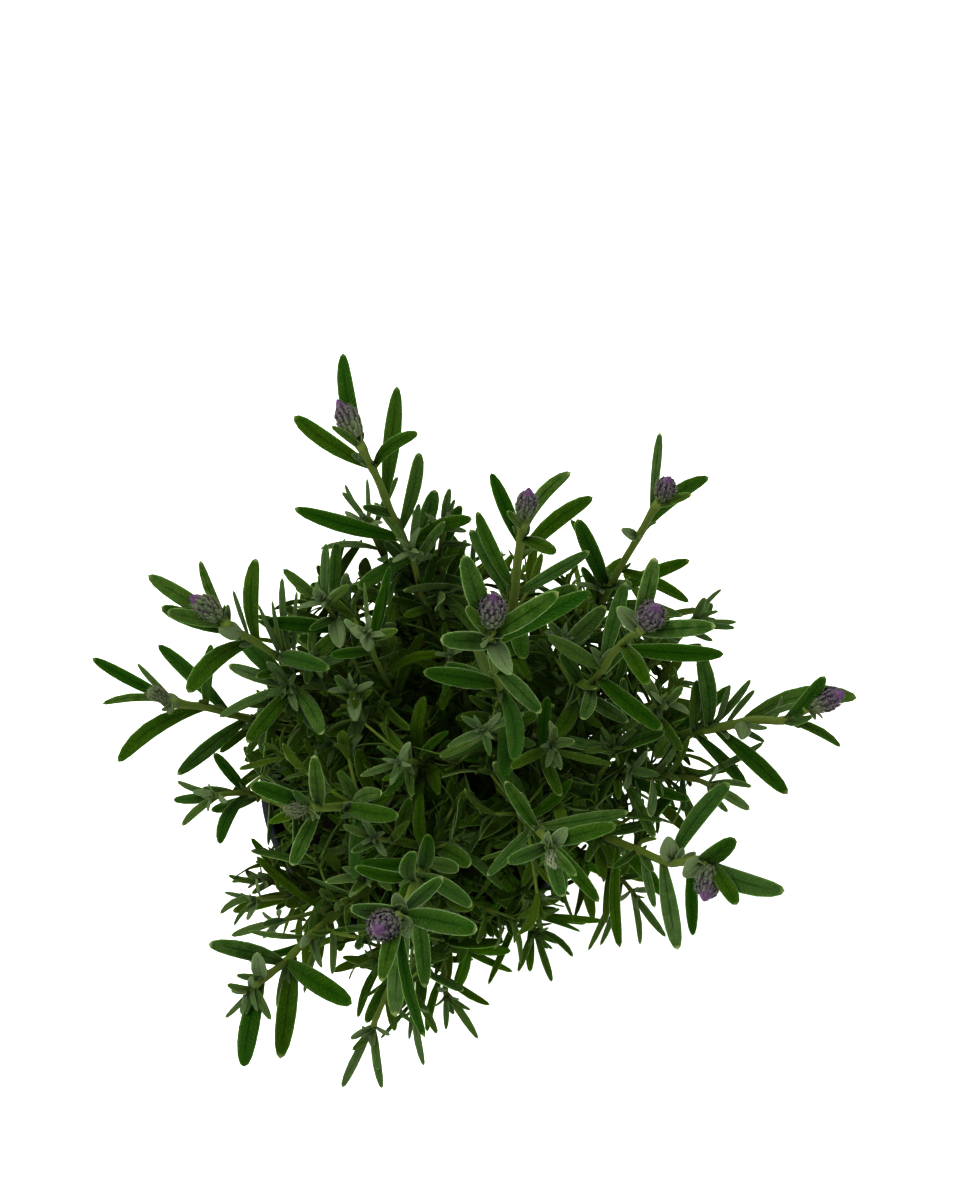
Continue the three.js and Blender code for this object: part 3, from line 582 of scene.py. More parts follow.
# Leafy shoots: the same readings, with the stem from its growing tip. thick: the stem's width
# at its root and at its tip, where it isn't as on the others.
leafyShoots = {
    "left_lower": {
        "top": 0.092,
        "stem": [(214, 796), (232, 793), (256, 794), (300, 795)],
        "leaves": [
            (173, 800, 230, 794, 11), (177, 781, 226, 794, 7, 0.05),
            (182, 826, 224, 796, 9, -0.07), (214, 753, 248, 793, 12),
            (220, 844, 247, 793, 15, -0.09), (202, 788, 236, 793, 8)]},
    "bottom_left": {
        "top": 0.118, "thick": (3.8 * mm, 2.4 * mm),
        "stem": [(249, 992), (263, 979), (285, 962), (310, 936), (341, 910), (375, 882)],
        "leaves": [
            (352, 1004, 287, 960, 22), (208, 944, 283, 963, 19, -0.05),
            (280, 1059, 292, 955, 21), (244, 1067, 260, 980, 21, -0.04),
            (304, 994, 338, 914, 7, -0.05), (257, 952, 261, 982, 15),
            (227, 984, 250, 992, 9, 0.05), (225, 1018, 250, 992, 7), (271, 1020, 255, 987, 10),
            (262, 955, 298, 934, 9, 0.1), (248, 931, 300, 930, 7), (277, 1008, 291, 968, 8),
            (288, 1018, 291, 966, 8), (240, 946, 270, 975, 8), (236, 975, 266, 978, 8),
            (246, 1015, 253, 989, 7), (258, 1012, 254, 989, 7), (300, 948, 297, 930, 9),
            (332, 975, 333, 918, 8, 0.05), (322, 968, 312, 935, 8)]},
    "bottom_tip": {
        "top": 0.082,
        "stem": [(371, 1030), (384, 1000), (398, 965), (415, 930)],
        "leaves": [
            (342, 1088, 370, 1032, 10), (382, 1089, 373, 1026, 10, -0.04),
            (352, 1050, 377, 1015, 9, 0.07), (366, 1023, 396, 970, 13),
            (378, 1070, 371, 1030, 9), (413, 1023, 388, 995, 6), (364, 998, 392, 975, 5)]},
    "middle_star": {
        "top": 0.132,
        "stem": [(483, 729), (490, 738), (492, 752)],
        "leaves": [
            (461, 716, 483, 729, 8), (524, 714, 483, 729, 10), (447, 747, 483, 729, 9),
            (490, 756, 484, 730, 9), (536, 745, 488, 735, 12), (439, 757, 487, 734, 10)]},
    "middle_right": {
        "top": 0.126,
        "stem": [(553, 745), (545, 752), (528, 760)],
        "leaves": [
            (575, 741, 552, 745, 11), (561, 770, 552, 746, 8), (546, 768, 552, 746, 8),
            (510, 768, 548, 748, 12), (555, 726, 552, 745, 9), (612, 764, 548, 750, 9)]},
    "middle_left": {
        "top": 0.128,
        "stem": [(399, 762), (412, 762), (440, 764), (463, 765)],
        "leaves": [
            (360, 776, 401, 762, 9), (407, 752, 400, 762, 9), (390, 779, 401, 763, 7),
            (412, 797, 408, 762, 10), (385, 796, 414, 762, 11), (377, 746, 404, 762, 7),
            (380, 722, 414, 762, 10)]},
    "lower_left_a": {
        "top": 0.122,
        "stem": [(374, 838), (400, 842), (430, 836)],
        "leaves": [
            (343, 825, 376, 838, 9), (369, 826, 377, 839, 7), (351, 852, 379, 839, 9),
            (362, 862, 390, 841, 10), (410, 820, 392, 841, 10)]},
    "lower_left_b": {
        "top": 0.112,
        "stem": [(364, 877), (388, 872), (425, 862)],
        "leaves": [
            (325, 882, 366, 877, 10), (342, 867, 367, 877, 8), (352, 892, 372, 876, 9),
            (392, 890, 378, 875, 10), (400, 858, 382, 874, 9)]},
    "upper_left_knob": {
        "top": 0.118,
        "stem": [(322, 600), (331, 612), (345, 640), (372, 672)],
        "leaves": [
            (283, 569, 326, 606, 12), (337, 541, 336, 620, 13), (326, 543, 322, 600, 10),
            (314, 588, 326, 600, 12), (350, 585, 327, 604, 10), (309, 630, 334, 618, 11),
            (340, 648, 336, 618, 16), (260, 622, 338, 630, 17)]},
    "upper_left_ovals": {
        "top": 0.136,
        "stem": [(366, 632), (378, 664), (398, 700)],
        "leaves": [
            (350, 629, 367, 634, 13), (369, 652, 368, 636, 14), (398, 630, 369, 640, 11),
            (384, 585, 371, 645, 10), (390, 565, 372, 650, 11), (330, 655, 372, 650, 12),
            (447, 655, 385, 674, 10, 0.08), (364, 582, 369, 640, 6), (370, 676, 394, 690, 9),
            (344, 667, 384, 674, 6)]},
    "upper_middle": {
        "top": 0.124,
        "stem": [(410, 549), (415, 566), (421, 592), (434, 622)],
        "leaves": [
            (374, 502, 411, 552, 9), (419, 503, 411, 552, 9), (416, 557, 412, 556, 10),
            (445, 521, 416, 566, 11), (436, 554, 422, 598, 10), (385, 598, 426, 612, 10),
            (392, 571, 421, 600, 8), (404, 616, 426, 608, 10), (463, 627, 434, 620, 9),
            (446, 568, 430, 606, 7), (463, 599, 428, 604, 6), (458, 616, 430, 612, 8)]},
    "left_grey": {
        "top": 0.098,
        "stem": [(290, 684), (306, 690), (335, 704)],
        "leaves": [
            (247, 743, 296, 686, 17), (219, 717, 292, 685, 11), (228, 665, 294, 686, 14),
            (300, 725, 306, 690, 9), (309, 738, 320, 698, 10)]},
    "inner_left": {
        "top": 0.108,
        "stem": [(352, 690), (362, 712), (380, 735)],
        "leaves": [
            (355, 722, 354, 694, 15), (361, 724, 366, 716, 15), (335, 676, 353, 692, 10),
            (332, 716, 358, 706, 9), (372, 690, 356, 700, 9)]},
    "bottom_fringe_a": {
        "top": 0.062,
        "stem": [(446, 996), (444, 972), (441, 930)],
        "leaves": [
            (478, 1039, 446, 994, 9), (490, 1005, 444, 976, 9), (446, 1030, 446, 996, 7),
            (427, 1032, 444, 972, 9, -0.05), (471, 1010, 446, 990, 6, -0.05),
            (511, 951, 441, 932, 15, -0.05), (513, 972, 442, 936, 8)]},
    "bottom_fringe_b": {
        "top": 0.066,
        "stem": [(414, 1008), (412, 985), (420, 945)],
        "leaves": [
            (424, 1066, 414, 1006, 8, -0.05), (409, 1040, 414, 1006, 6),
            (437, 1034, 413, 990, 8, 0.06), (392, 1014, 413, 990, 8), (342, 957, 416, 966, 12),
            (380, 1039, 413, 1002, 6)]},
    "bottom_fringe_c": {
        "top": 0.056,
        "stem": [(536, 932), (526, 915), (515, 890)],
        "leaves": [
            (573, 957, 534, 928, 7, 0.12), (565, 942, 532, 925, 6, -0.12),
            (552, 982, 535, 930, 8, -0.02), (518, 972, 534, 928, 8), (603, 921, 526, 914, 8),
            (488, 985, 522, 906, 8), (530, 972, 530, 924, 9), (581, 932, 528, 915, 6, 0.08),
            (586, 924, 527, 912, 6, 0.05), (553, 949, 530, 918, 6, -0.1)]},
    "bottom_fringe_d": {
        "top": 0.078,
        "stem": [(634, 894), (622, 880), (596, 862)],
        "leaves": [
            (666, 937, 634, 894, 9), (640, 945, 634, 894, 7, 0.04), (600, 946, 622, 880, 7),
            (588, 951, 620, 878, 7), (652, 870, 620, 878, 8)]},
    "right_fringe_a": {
        "top": 0.084,
        "stem": [(712, 786), (694, 779), (660, 778), (620, 776)],
        "leaves": [
            (750, 810, 712, 786, 11), (752, 787, 710, 785, 7, 0.06),
            (728, 812, 708, 784, 7, -0.08), (764, 742, 692, 779, 8), (683, 812, 682, 778, 8)]},
    "right_fringe_b": {
        "top": 0.096,
        "stem": [(698, 618), (684, 630), (660, 652), (630, 680)],
        "leaves": [
            (722, 589, 698, 618, 6, 0.07), (705, 597, 694, 620, 9),
            (719, 611, 696, 619, 6, 0.06), (737, 622, 688, 630, 8), (735, 628, 690, 628, 7),
            (713, 641, 686, 634, 7), (716, 619, 692, 622, 6)]},
    "right_inner": {
        "top": 0.112,
        "stem": [(668, 702), (650, 712), (610, 726)],
        "leaves": [
            (683, 686, 664, 704, 9), (640, 745, 655, 709, 12), (682, 752, 652, 711, 11),
            (640, 672, 660, 707, 12), (622, 730, 640, 716, 10)]},
    "right_dark": {
        "top": 0.104,
        "stem": [(632, 770), (610, 772), (575, 768)],
        "leaves": [
            (655, 838, 622, 771, 12), (660, 775, 628, 770, 10), (618, 800, 616, 771, 10),
            (690, 800, 610, 772, 13), (600, 742, 606, 771, 10)]},
    "left_fringe_a": {
        "top": 0.058,
        "stem": [(262, 879), (285, 884), (325, 876)],
        "leaves": [
            (228, 875, 264, 879, 7, 0.09), (231, 882, 266, 880, 6, -0.05),
            (252, 894, 276, 882, 8), (251, 838, 290, 884, 9), (258, 872, 262, 879, 7)]},
    "left_fringe_b": {
        "top": 0.066,
        "stem": [(256, 899), (290, 896), (330, 886)],
        "leaves": [
            (224, 892, 258, 899, 6), (220, 914, 260, 898, 8, -0.13),
            (234, 926, 262, 898, 6, -0.08), (282, 898, 300, 894, 9), (290, 905, 308, 892, 14)]},
    "left_fringe_c": {
        "top": 0.074,
        "stem": [(276, 922), (308, 914), (345, 898)],
        "leaves": [
            (231, 936, 280, 921, 9), (262, 925, 284, 920, 8), (300, 945, 300, 916, 9),
            (311, 934, 318, 910, 9), (256, 856, 322, 908, 10)]},
    "top_fringe_a": {
        "top": 0.104,
        "stem": [(366, 520), (378, 545), (395, 585)],
        "leaves": [
            (345, 484, 367, 522, 6, 0.05), (342, 492, 368, 524, 7, -0.05),
            (367, 478, 367, 520, 6), (320, 549, 380, 550, 8, -0.04), (398, 476, 372, 532, 8)]},
    "top_fringe_b": {
        "top": 0.108,
        "stem": [(445, 526), (440, 556), (446, 600)],
        "leaves": [
            (450, 488, 445, 528, 9, 0.05), (455, 499, 445, 528, 6), (472, 545, 442, 545, 8),
            (428, 520, 443, 540, 8)]},
    "upper_right_inner": {
        "top": 0.112,
        "stem": [(566, 640), (556, 660), (538, 690)],
        "leaves": [
            (606, 606, 562, 648, 18), (602, 617, 560, 652, 10), (548, 622, 564, 644, 9),
            (600, 690, 554, 664, 12), (530, 640, 550, 670, 11)]},
}

# Low leafy shoots that fill the middle of the clump: picture x, y and height of the tip.
innerShoots = [(330, 745, 0.078), (450, 655, 0.096), (540, 830, 0.080),
               (455, 905, 0.084), (600, 800, 0.080), (350, 850, 0.070)]
clump = {
    "middle": (475, 770),
    "innerLean": 0.4,
    "rootedDepth": 16 * mm,
    "stemRise": 0.85,
    "step": 3.5 * mm,  # between the rings of a stem
    "heartHeight": 80 * mm,  # above the rim
    "domeTop": 118 * mm,  # above the rim
    "domeReach": 100 * mm,
    "domeDrop": 62 * mm,
    "shadeDepth": 70 * mm,
    "darkest": 0.1,
    "wallInside": 58.5 * mm,  # leaves and side shoots keep out of the pot's wall
    "wallOutside": 67 * mm,
    "overRim": 2 * mm,
}


def rootOf(node):
    # where the CAD stem starts, so that the piece that stands for it stays there
    points = [vert.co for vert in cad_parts[node].data.vertices]
    low = min(point.z for point in points)
    feet = [point for point in points if point.z < low + 0.6 * mm]
    return sum(feet, Vector()) / len(feet)


def smoothLine(points, steps):
    # a smooth line through the points, without loops at sharp turns, as the CAD stems have
    line = [points[0].copy()]
    ends = [points[0] * 2 - points[1], *points, points[-1] * 2 - points[-2]]
    for a, b, c, d in zip(ends, ends[1:], ends[2:], ends[3:]):
        before, here, after = [(q - p).length ** 0.5 for p, q in ((a, b), (b, c), (c, d))]
        leave = (b - a) / before - (c - a) / (before + here) + (c - b) / here
        arrive = (c - b) / here - (d - b) / (here + after) + (d - c) / after
        for step in range(1, steps + 1):
            t = step / steps
            start = b * (2 * t**3 - 3 * t**2 + 1) + leave * here * (t**3 - 2 * t**2 + t)
            line.append(start + c * (3 * t**2 - 2 * t**3) + arrive * here * (t**3 - t**2))
    return line


class Path:
    # a stem's line, measured from its root
    def __init__(self, points):
        self.points = points
        self.gone = [0.0]
        for a, b in zip(points, points[1:]):
            self.gone.append(self.gone[-1] + (b - a).length)
        self.length = self.gone[-1]

    def at(self, distance):
        distance = min(max(distance, 0), self.length)
        for i, gone in enumerate(self.gone[1:]):
            if gone >= distance:
                share = (distance - self.gone[i]) / (gone - self.gone[i])
                return self.points[i].lerp(self.points[i + 1], share)
        return self.points[-1].copy()

    def tangent(self, distance):
        reach = 1.5 * mm
        return (self.at(distance + reach) - self.at(distance - reach)).normalized()

    def nearest(self, x, y):
        # the distance along at which the picture point shows
        target = Vector((x, y))
        tries = [self.length * (0.15 + 0.83 * i / 80) for i in range(81)]
        return min(tries, key=lambda d: (pixelOf(self.at(d)) - target).length)


def stemPath(shoot, node):
    root = rootOf(node)
    collar = root + upright * clump["rootedDepth"]
    pixels = [pixelOf(collar), *[Vector(p) for p in reversed(shoot["stem"])]]
    steps = [(b - a).length for a, b in zip(pixels, pixels[1:])]
    drop = potHeight - soilTop
    points = [root, collar]
    for i, pixel in enumerate(pixels[1:]):
        share = sum(steps[: i + 1]) / sum(steps)
        height = -drop + (shoot["top"] + drop) * share ** clump["stemRise"]
        points.append(pointAt(pixel.x, pixel.y, height))
    return Path(smoothLine(points, 10))


def framesAlong(points):
    # a frame on each point, turned no more than the line itself turns
    frames = []
    side = Vector((1, 0, 0))
    for i, point in enumerate(points):
        ahead = points[min(i + 1, len(points) - 1)] - points[max(i - 1, 0)]
        tangent = ahead.normalized()
        side = (side - tangent * side.dot(tangent)).normalized()
        turned = Matrix((side, tangent.cross(side), tangent)).transposed().to_4x4()
        frames.append(Matrix.Translation(point) @ turned)
    return frames


stemShape = {
    "sides": 8,
    "ridge": 1.22,  # how far the four corners stand out
    "joint": 0.22,  # how much it swells at a leaf pair
    "jointReach": 2.6 * mm,
    "flareReach": 9 * mm,
}


def growStem(shoot, path, joints, thick, thin, flare=0.0):
    # a square stem with rounded ridges, a little swollen at each leaf pair and below a bud
    bm = startShoot()
    place = layersOf(bm)[0]
    count = max(6, round(path.length / clump["step"]))
    distances = sorted({path.length * i / count for i in range(count + 1)})
    frames = framesAlong([path.at(d) for d in distances])
    ring = bmesh.ops.create_circle(bm, segments=stemShape["sides"], radius=1)["verts"]
    for corner in ring[::2]:
        corner.co *= stemShape["ridge"]
    edges = list({edge for vert in ring for edge in vert.link_edges})
    foot = edges
    was = Matrix.Identity(4)
    for distance, turned in zip(distances, frames):
        if distance:
            made = bmesh.ops.extrude_edge_only(bm, edges=edges)["geom"]
            ring = [part for part in made if isinstance(part, bmesh.types.BMVert)]
            edges = [part for part in made if isinstance(part, bmesh.types.BMEdge)]
            edges = [edge for edge in edges if edge.is_boundary]
        share = distance / path.length
        near = [1 - abs(distance - joint) / stemShape["jointReach"] for joint in joints]
        near = max([0.0, *near])
        wide = flare * max(0.0, 1 - (path.length - distance) / stemShape["flareReach"])
        swell = 1 + stemShape["joint"] * near + wide
        radius = (thick + (thin - thick) * share) / 2 * swell
        now = turned @ Matrix.Diagonal((radius, radius, 1, 1))
        bmesh.ops.transform(bm, matrix=now @ was.inverted(), verts=ring)
        was = now
        for i, vert in enumerate(ring):
            vert[place] = (i / stemShape["sides"], share, near)
    bmesh.ops.contextual_create(bm, geom=foot)
    bmesh.ops.contextual_create(bm, geom=edges)
    bmesh.ops.recalc_face_normals(bm, faces=bm.faces)
    handOver(bm, shoot)


def startShoot():
    bm = bmesh.new()
    bm.verts.layers.float_vector.new("place")
    bm.verts.layers.float_vector.new("look")
    return bm


def layersOf(bm):
    layers = bm.verts.layers.float_vector
    return layers["place"], layers["look"]


def stray(draw, reach):
    return draw.uniform(-reach, reach)


def anyWay(draw, reach=1):
    return Vector([stray(draw, reach) for _ in range(3)])


def onBend(foot, bend, tip, t):
    # a point of the curve from foot to tip that leans towards bend
    return foot * (1 - t) ** 2 + bend * 2 * t * (1 - t) + tip * t**2


# Leaf shapes: sides and rings of the mesh, arch of its midline as a share of its length, how far
# its margins roll down (or cup up, below 0), its fold and groove along the rib, thickness, and
# how blunt its tip and how wide its foot is.
leafShapes = {
    "large": {"sides": 8, "rings": 9, "arch": 0.09, "roll": 0.22, "fold": 0.0,
              "groove": 0.28, "thick": 0.55 * mm, "blunt": 6.8, "foot": 0.36},
    "medium": {"sides": 8, "rings": 7, "arch": 0.10, "roll": 0.16, "fold": 0.0,
               "groove": 0.22, "thick": 0.48 * mm, "blunt": 6.0, "foot": 0.36},
    "small": {"sides": 6, "rings": 6, "arch": 0.12, "roll": 0.0, "fold": 0.22,
              "groove": 0.08, "thick": 0.42 * mm, "blunt": 5.5, "foot": 0.42},
    "oval": {"sides": 8, "rings": 8, "arch": 0.08, "roll": -0.22, "fold": 0.05,
             "groove": 0.08, "thick": 0.62 * mm, "blunt": 3.4, "foot": 0.30},
    "knob": {"sides": 10, "rings": 9, "arch": 0.20, "roll": 0.50, "fold": 0.0,
             "groove": 0.0, "thick": 1.4 * mm, "blunt": 2.6, "foot": 0.55},
    "scale": {"sides": 6, "rings": 6, "arch": 0.10, "roll": 0.40, "fold": 0.0,
              "groove": 0.0, "thick": 0.36 * mm, "blunt": 2.2, "foot": 0.70},
}


carrier = bpy.data.meshes.new("carrier")  # takes each finished stem and leaf to its shoot


def handOver(part, shoot):
    part.to_mesh(carrier)
    part.free()
    shoot.from_mesh(carrier)


def leafTemplate(shape):
    # a closed ball whose vertices know their place across, along and over a leaf
    bm = startShoot()
    place = layersOf(bm)[0]
    ball = bmesh.ops.create_uvsphere(bm, u_segments=shape["sides"], v_segments=shape["rings"],
                                     radius=1)["verts"]
    for vert in ball:
        girth = math.hypot(vert.co.x, vert.co.y)
        share = 1 / girth if girth > 0.01 else 0
        vert[place] = (vert.co.x * share, (vert.co.z + 1) / 2, vert.co.y * share)
    for face in bm.faces:
        face.material_index = 1
    template = bpy.data.meshes.new("leafTemplate")
    bm.to_mesh(template)
    bm.free()
    return template


heart = pointAt(*clump["middle"], clump["heartHeight"])


def litAt(point):
    # 1 on the outside of the leafy mass, falling inside it
    away = (point - heart).xy.length / clump["domeReach"]
    dome = potHeight + clump["domeTop"] - clump["domeDrop"] * away**2
    return min(1.0, max(clump["darkest"], 1 - (dome - point.z) / clump["shadeDepth"]))


def throughPot(line):
    # whether a line of points passes through the pot's wall or lip
    near = [point for point in line if point.z < potHeight + clump["overRim"]]
    return any(clump["wallInside"] < point.xy.length < clump["wallOutside"] for point in near)


leafPose = {
    "sweep": 0.08,  # how far it strays sideways, as a share of its length
    "twist": 0.35,
    "arch": (0.5, 1.5),
    "blunt": (0.55, 1.15),
    "tone": {"large": 0.5},  # most of a kind's own tone
    "otherTone": 0.8,
    "shadeTone": 0.9,
    "widest": 0.6,  # of the way to the tip
    "tipThick": 0.55,  # of its thickness at the tip, and what it gains towards the foot
    "footGain": 0.45,
    "checks": 9,  # steps along it that are tested against the pot
}


def growLeaf(bm, foot, tip, up, width, kind, youth, draw, wander=1.0, bow=0.0):
    # a closed blade: its upper side faces up, which is the way its stem points
    shape = leafShapes[kind]
    axis = (tip - foot).normalized()
    length = (tip - foot).length
    side = up.cross(axis)
    if side.length < 0.05:
        side = axis.orthogonal()
    side.normalize()
    normal = axis.cross(side)
    sweep = bow + stray(draw, leafPose["sweep"]) * wander
    arch = shape["arch"] * draw.uniform(*leafPose["arch"])
    blunt = shape["blunt"] * draw.uniform(*leafPose["blunt"])
    twist = stray(draw, leafPose["twist"]) * wander
    # painted light: inside the clump, where shade falls, leaves are given a brighter, greener
    # colour in place of the green light that comes through the leaves above; they are also less
    # felted, which the older leaves low down really are
    lit = litAt(foot)  # how lit the leaf is, for that painted light
    youth *= lit
    tone = draw.random() * leafPose["tone"].get(kind, leafPose["otherTone"])
    tone = tone + (1 - lit) * leafPose["shadeTone"]
    own = draw.random() * lit
    bend = (foot + tip) / 2 + (normal * arch + side * sweep) * 2 * length
    checks = leafPose["checks"]
    if throughPot([onBend(foot, bend, tip, i / checks) for i in range(checks + 1)]):
        return
    leaf = bmesh.new()
    leaf.from_mesh(leafTemplates[kind])
    place, look = layersOf(leaf)
    for vert in leaf.verts:
        across, along, over = vert[place]
        middle = onBend(foot, bend, tip, along)
        heading = ((bend - foot) * (1 - along) + (tip - bend) * along).normalized()
        turned = Matrix.Rotation(twist * along, 3, heading)
        sideways = turned @ (side - heading * side.dot(heading)).normalized()
        above = heading.cross(sideways)
        swell = math.sin(min(along / leafPose["widest"], 1) * math.pi / 2)
        swell = shape["foot"] + (1 - shape["foot"]) * swell
        half = width / 2 * swell * (1 - along ** blunt) ** 0.5
        rise = over * shape["thick"] / 2
        rise *= leafPose["tipThick"] + leafPose["footGain"] * (1 - along)
        if abs(across) < 0.5:
            rise -= shape["groove"] * half
        rise += (shape["fold"] * abs(across) - shape["roll"] * across**2) * half
        vert.co = middle + sideways * across * half + above * rise
        vert[look] = (youth, tone, own)
    handOver(leaf, bm)


leafTemplates = {kind: leafTemplate(shape) for kind, shape in leafShapes.items()}


def kindOf(width):
    return "large" if width > 4.2 * mm else "medium" if width > 2.4 * mm else "small"


def outwards(path, distance, spin, rise):
    # a direction away from the stem, rise above square to it
    tangent = path.tangent(distance)
    across = tangent.orthogonal().normalized()
    across = Matrix.Rotation(spin, 3, tangent) @ across
    return across * math.cos(rise) + tangent * math.sin(rise)


tuft = {
    "count": (2, 4),
    "length": (4.5 * mm, 9.5 * mm),
    "width": {"small": 0.29, "oval": 0.52},  # of the length
    "narrowest": 1.1 * mm,
    "widths": (0.8, 1.25),
    "spread": 0.5,
    "upwards": 0.4,
}


def growTuft(bm, foot, towards, size, youth, draw, kind="small"):
    # the small leaves of a shoot that is only starting in a leaf's axil
    for _ in range(draw.randint(*tuft["count"])):
        length = draw.uniform(*tuft["length"]) * size
        direction = (towards + anyWay(draw) * tuft["spread"]).normalized()
        width = length * tuft["width"][kind] * draw.uniform(*tuft["widths"])
        width = max(tuft["narrowest"], width)
        up = towards + upright * tuft["upwards"]
        growLeaf(bm, foot, foot + direction * length, up, width, kind, youth, draw)


tipShape = {
    "levels": 4,
    "length": (9.5, 2.1),  # in mm, of the lowest leaves, and how much shorter each next pair is
    "rise": (0.55, 0.24),
    "apart": 0.9,  # in mm
    "narrowest": 1.3 * mm,
    "slenderness": 0.29,
    "stray": 0.2,
}


def growTip(bm, path, size, youth, draw):
    # the growing tip: pairs of ever smaller, steeper leaves
    spin = draw.uniform(0, math.pi)
    longest, shorter = tipShape["length"]
    lowest, steeper = tipShape["rise"]
    for level in range(tipShape["levels"]):
        length = (longest - shorter * level) * mm * size
        rise = lowest + steeper * level
        distance = path.length - (tipShape["levels"] - 1 - level) * tipShape["apart"] * mm
        for turn in (0, math.pi):
            around = spin + turn + stray(draw, tipShape["stray"])
            direction = outwards(path, distance, around, rise)
            foot = path.at(distance)
            width = max(tipShape["narrowest"], length * tipShape["slenderness"])
            growLeaf(bm, foot, foot + direction * length, path.tangent(distance), width,
                     "small" if level else "medium", youth, draw)
        spin += math.pi / 2


pairs = {
    "spacing": (9 * mm, 14 * mm),
    "length": (17 * mm, 31 * mm),
    "slenderness": (0.19, 0.25),
    "rise": (0.25, 0.95),
    "lowest": 4 * mm,  # above the compost
    "dropped": 0.12,  # share of leaves that are gone
    "stray": 0.3,
    "lift": (-0.15, 0.2),
    "youth": (0.0, 0.3),
    "lowLength": 0.72,  # of the full length, at the lowest pair
    "highGain": 0.28,
    "tufts": 0.62,  # share of leaves with small ones in their axil
    "tuftSize": (0.8, 1.3),
    "tuftYouth": (0.2, 0.6),
    "tuftLean": 0.9,
}


def growPairs(bm, path, first, last, size, draw):
    # leaf pairs down the stem from last to first, each a right angle from the next
    joints = []
    distance = last
    spin = draw.uniform(0, math.pi)
    while distance > first:
        low = (distance - first) / max(last - first, 1e-6)
        for turn in (0, math.pi):
            if draw.random() < pairs["dropped"]:
                continue
            length = draw.uniform(*pairs["length"]) * size
            length *= pairs["lowLength"] + pairs["highGain"] * low
            width = length * draw.uniform(*pairs["slenderness"])
            rise = draw.uniform(*pairs["rise"])
            around = spin + turn + stray(draw, pairs["stray"])
            direction = outwards(path, distance, around, rise)
            direction = (direction + upright * draw.uniform(*pairs["lift"])).normalized()
            foot = path.at(distance)
            tangent = path.tangent(distance)
            growLeaf(bm, foot, foot + direction * length, tangent, width, kindOf(width),
                     draw.uniform(*pairs["youth"]), draw)
            if draw.random() < pairs["tufts"]:
                towards = (direction + tangent * pairs["tuftLean"]).normalized()
                tuftSize = size * draw.uniform(*pairs["tuftSize"])
                growTuft(bm, foot, towards, tuftSize, draw.uniform(*pairs["tuftYouth"]), draw)
        joints.append(distance)
        distance -= draw.uniform(*pairs["spacing"])
        spin += math.pi / 2
    return joints


sideShoots = {
    # picture outline of the leafy mass, and the pixels between the tips that fill it
    "outline": [(368, 556), (402, 550), (450, 556), (520, 566), (585, 574), (640, 602), (668, 628),
                (682, 662), (698, 720), (686, 778), (656, 832), (618, 866), (588, 893), (540, 915),
                (490, 938), (436, 964), (395, 980), (352, 966), (312, 938), (278, 915), (264, 890),
                (270, 860), (268, 820), (262, 775), (257, 715), (257, 665), (296, 612),
                (335, 568)],
    "spacing": 31,
    "rows": (15, 34),  # of that spacing, across the outline
    "columns": (7, 25),
    "stray": 0.4,
    "layers": [(46 * mm, 112 * mm), (-4 * mm, 46 * mm)],  # heights of the tips above the rim
    "reach": (16 * mm, 75 * mm),
    "lowest": 6 * mm,  # above the compost
    "belowTip": 12 * mm,
    "tries": 8 * mm,  # between the places tried on a stem
    "crowding": 2.5,  # in mm, for each side shoot that a stem already has
    "leanLeast": 0.25,
    "clearing": (272, 822, 24),  # picture x, y and radius of the gap that shows the pot's rim
    "knee": (0.45, 0.55),  # how far it leaves along the stem and along its own way
    "kneeAt": 0.45,
    "thick": (1.5 * mm, 0.9 * mm),
    "bare": (8 * mm, 4 * mm),  # at its foot and below its tip
    "pairSize": (0.72, 1.05),
    "tipSize": (0.9, 1.35),
    "youth": (0.1, 0.6),
}


def insideOutline(x, y):
    outline = sideShoots["outline"]
    inside = False
    for (ax, ay), (bx, by) in zip(outline, outline[1:] + outline[:1]):
        if (ay > y) != (by > y) and x < ax + (bx - ax) * (y - ay) / (by - ay):
            inside = not inside
    return inside


def nearestStem(tip, paths, taken):
    # the stem and the distance up it where a side shoot to this tip starts best
    shortest, longest = sideShoots["reach"]
    best = (longest, None, 0)
    for node, path in paths.items():
        distance = clump["rootedDepth"] + sideShoots["lowest"]
        while distance < path.length - sideShoots["belowTip"]:
            way = tip - path.at(distance)
            lean = way.normalized().dot(path.tangent(distance))
            cost = way.length + taken[node] * sideShoots["crowding"] * mm
            fits = way.length > shortest and lean > sideShoots["leanLeast"]
            if fits and cost < best[0]:
                best = (cost, node, distance)
            distance += sideShoots["tries"]
    return best[1:]


def planSideShoots(paths, draw):
    # tips spread evenly over the picture, each given to the stem that reaches it best
    plans = {node: [] for node in paths}
    taken = {node: 0 for node in paths}
    spacing = sideShoots["spacing"]
    clearX, clearY, clear = sideShoots["clearing"]
    checks = leafPose["checks"]
    for low, high in sideShoots["layers"]:
        for row in range(*sideShoots["rows"]):
            for column in range(*sideShoots["columns"]):
                x = (column + 0.5 * (row % 2) + stray(draw, sideShoots["stray"])) * spacing
                y = (row + stray(draw, sideShoots["stray"])) * spacing
                if not insideOutline(x, y):
                    continue
                tip = pointAt(x, y, draw.uniform(low, high))
                if math.hypot(x - clearX, y - clearY) < clear:
                    continue
                node, distance = nearestStem(tip, paths, taken)
                if not node:
                    continue  # no stem reaches this far
                start = paths[node].at(distance)
                if not throughPot([start.lerp(tip, i / checks) for i in range(checks + 1)]):
                    plans[node].append((distance, tip))
                    taken[node] += 1
    print("side shoots:", sum(taken.values()))
    return plans


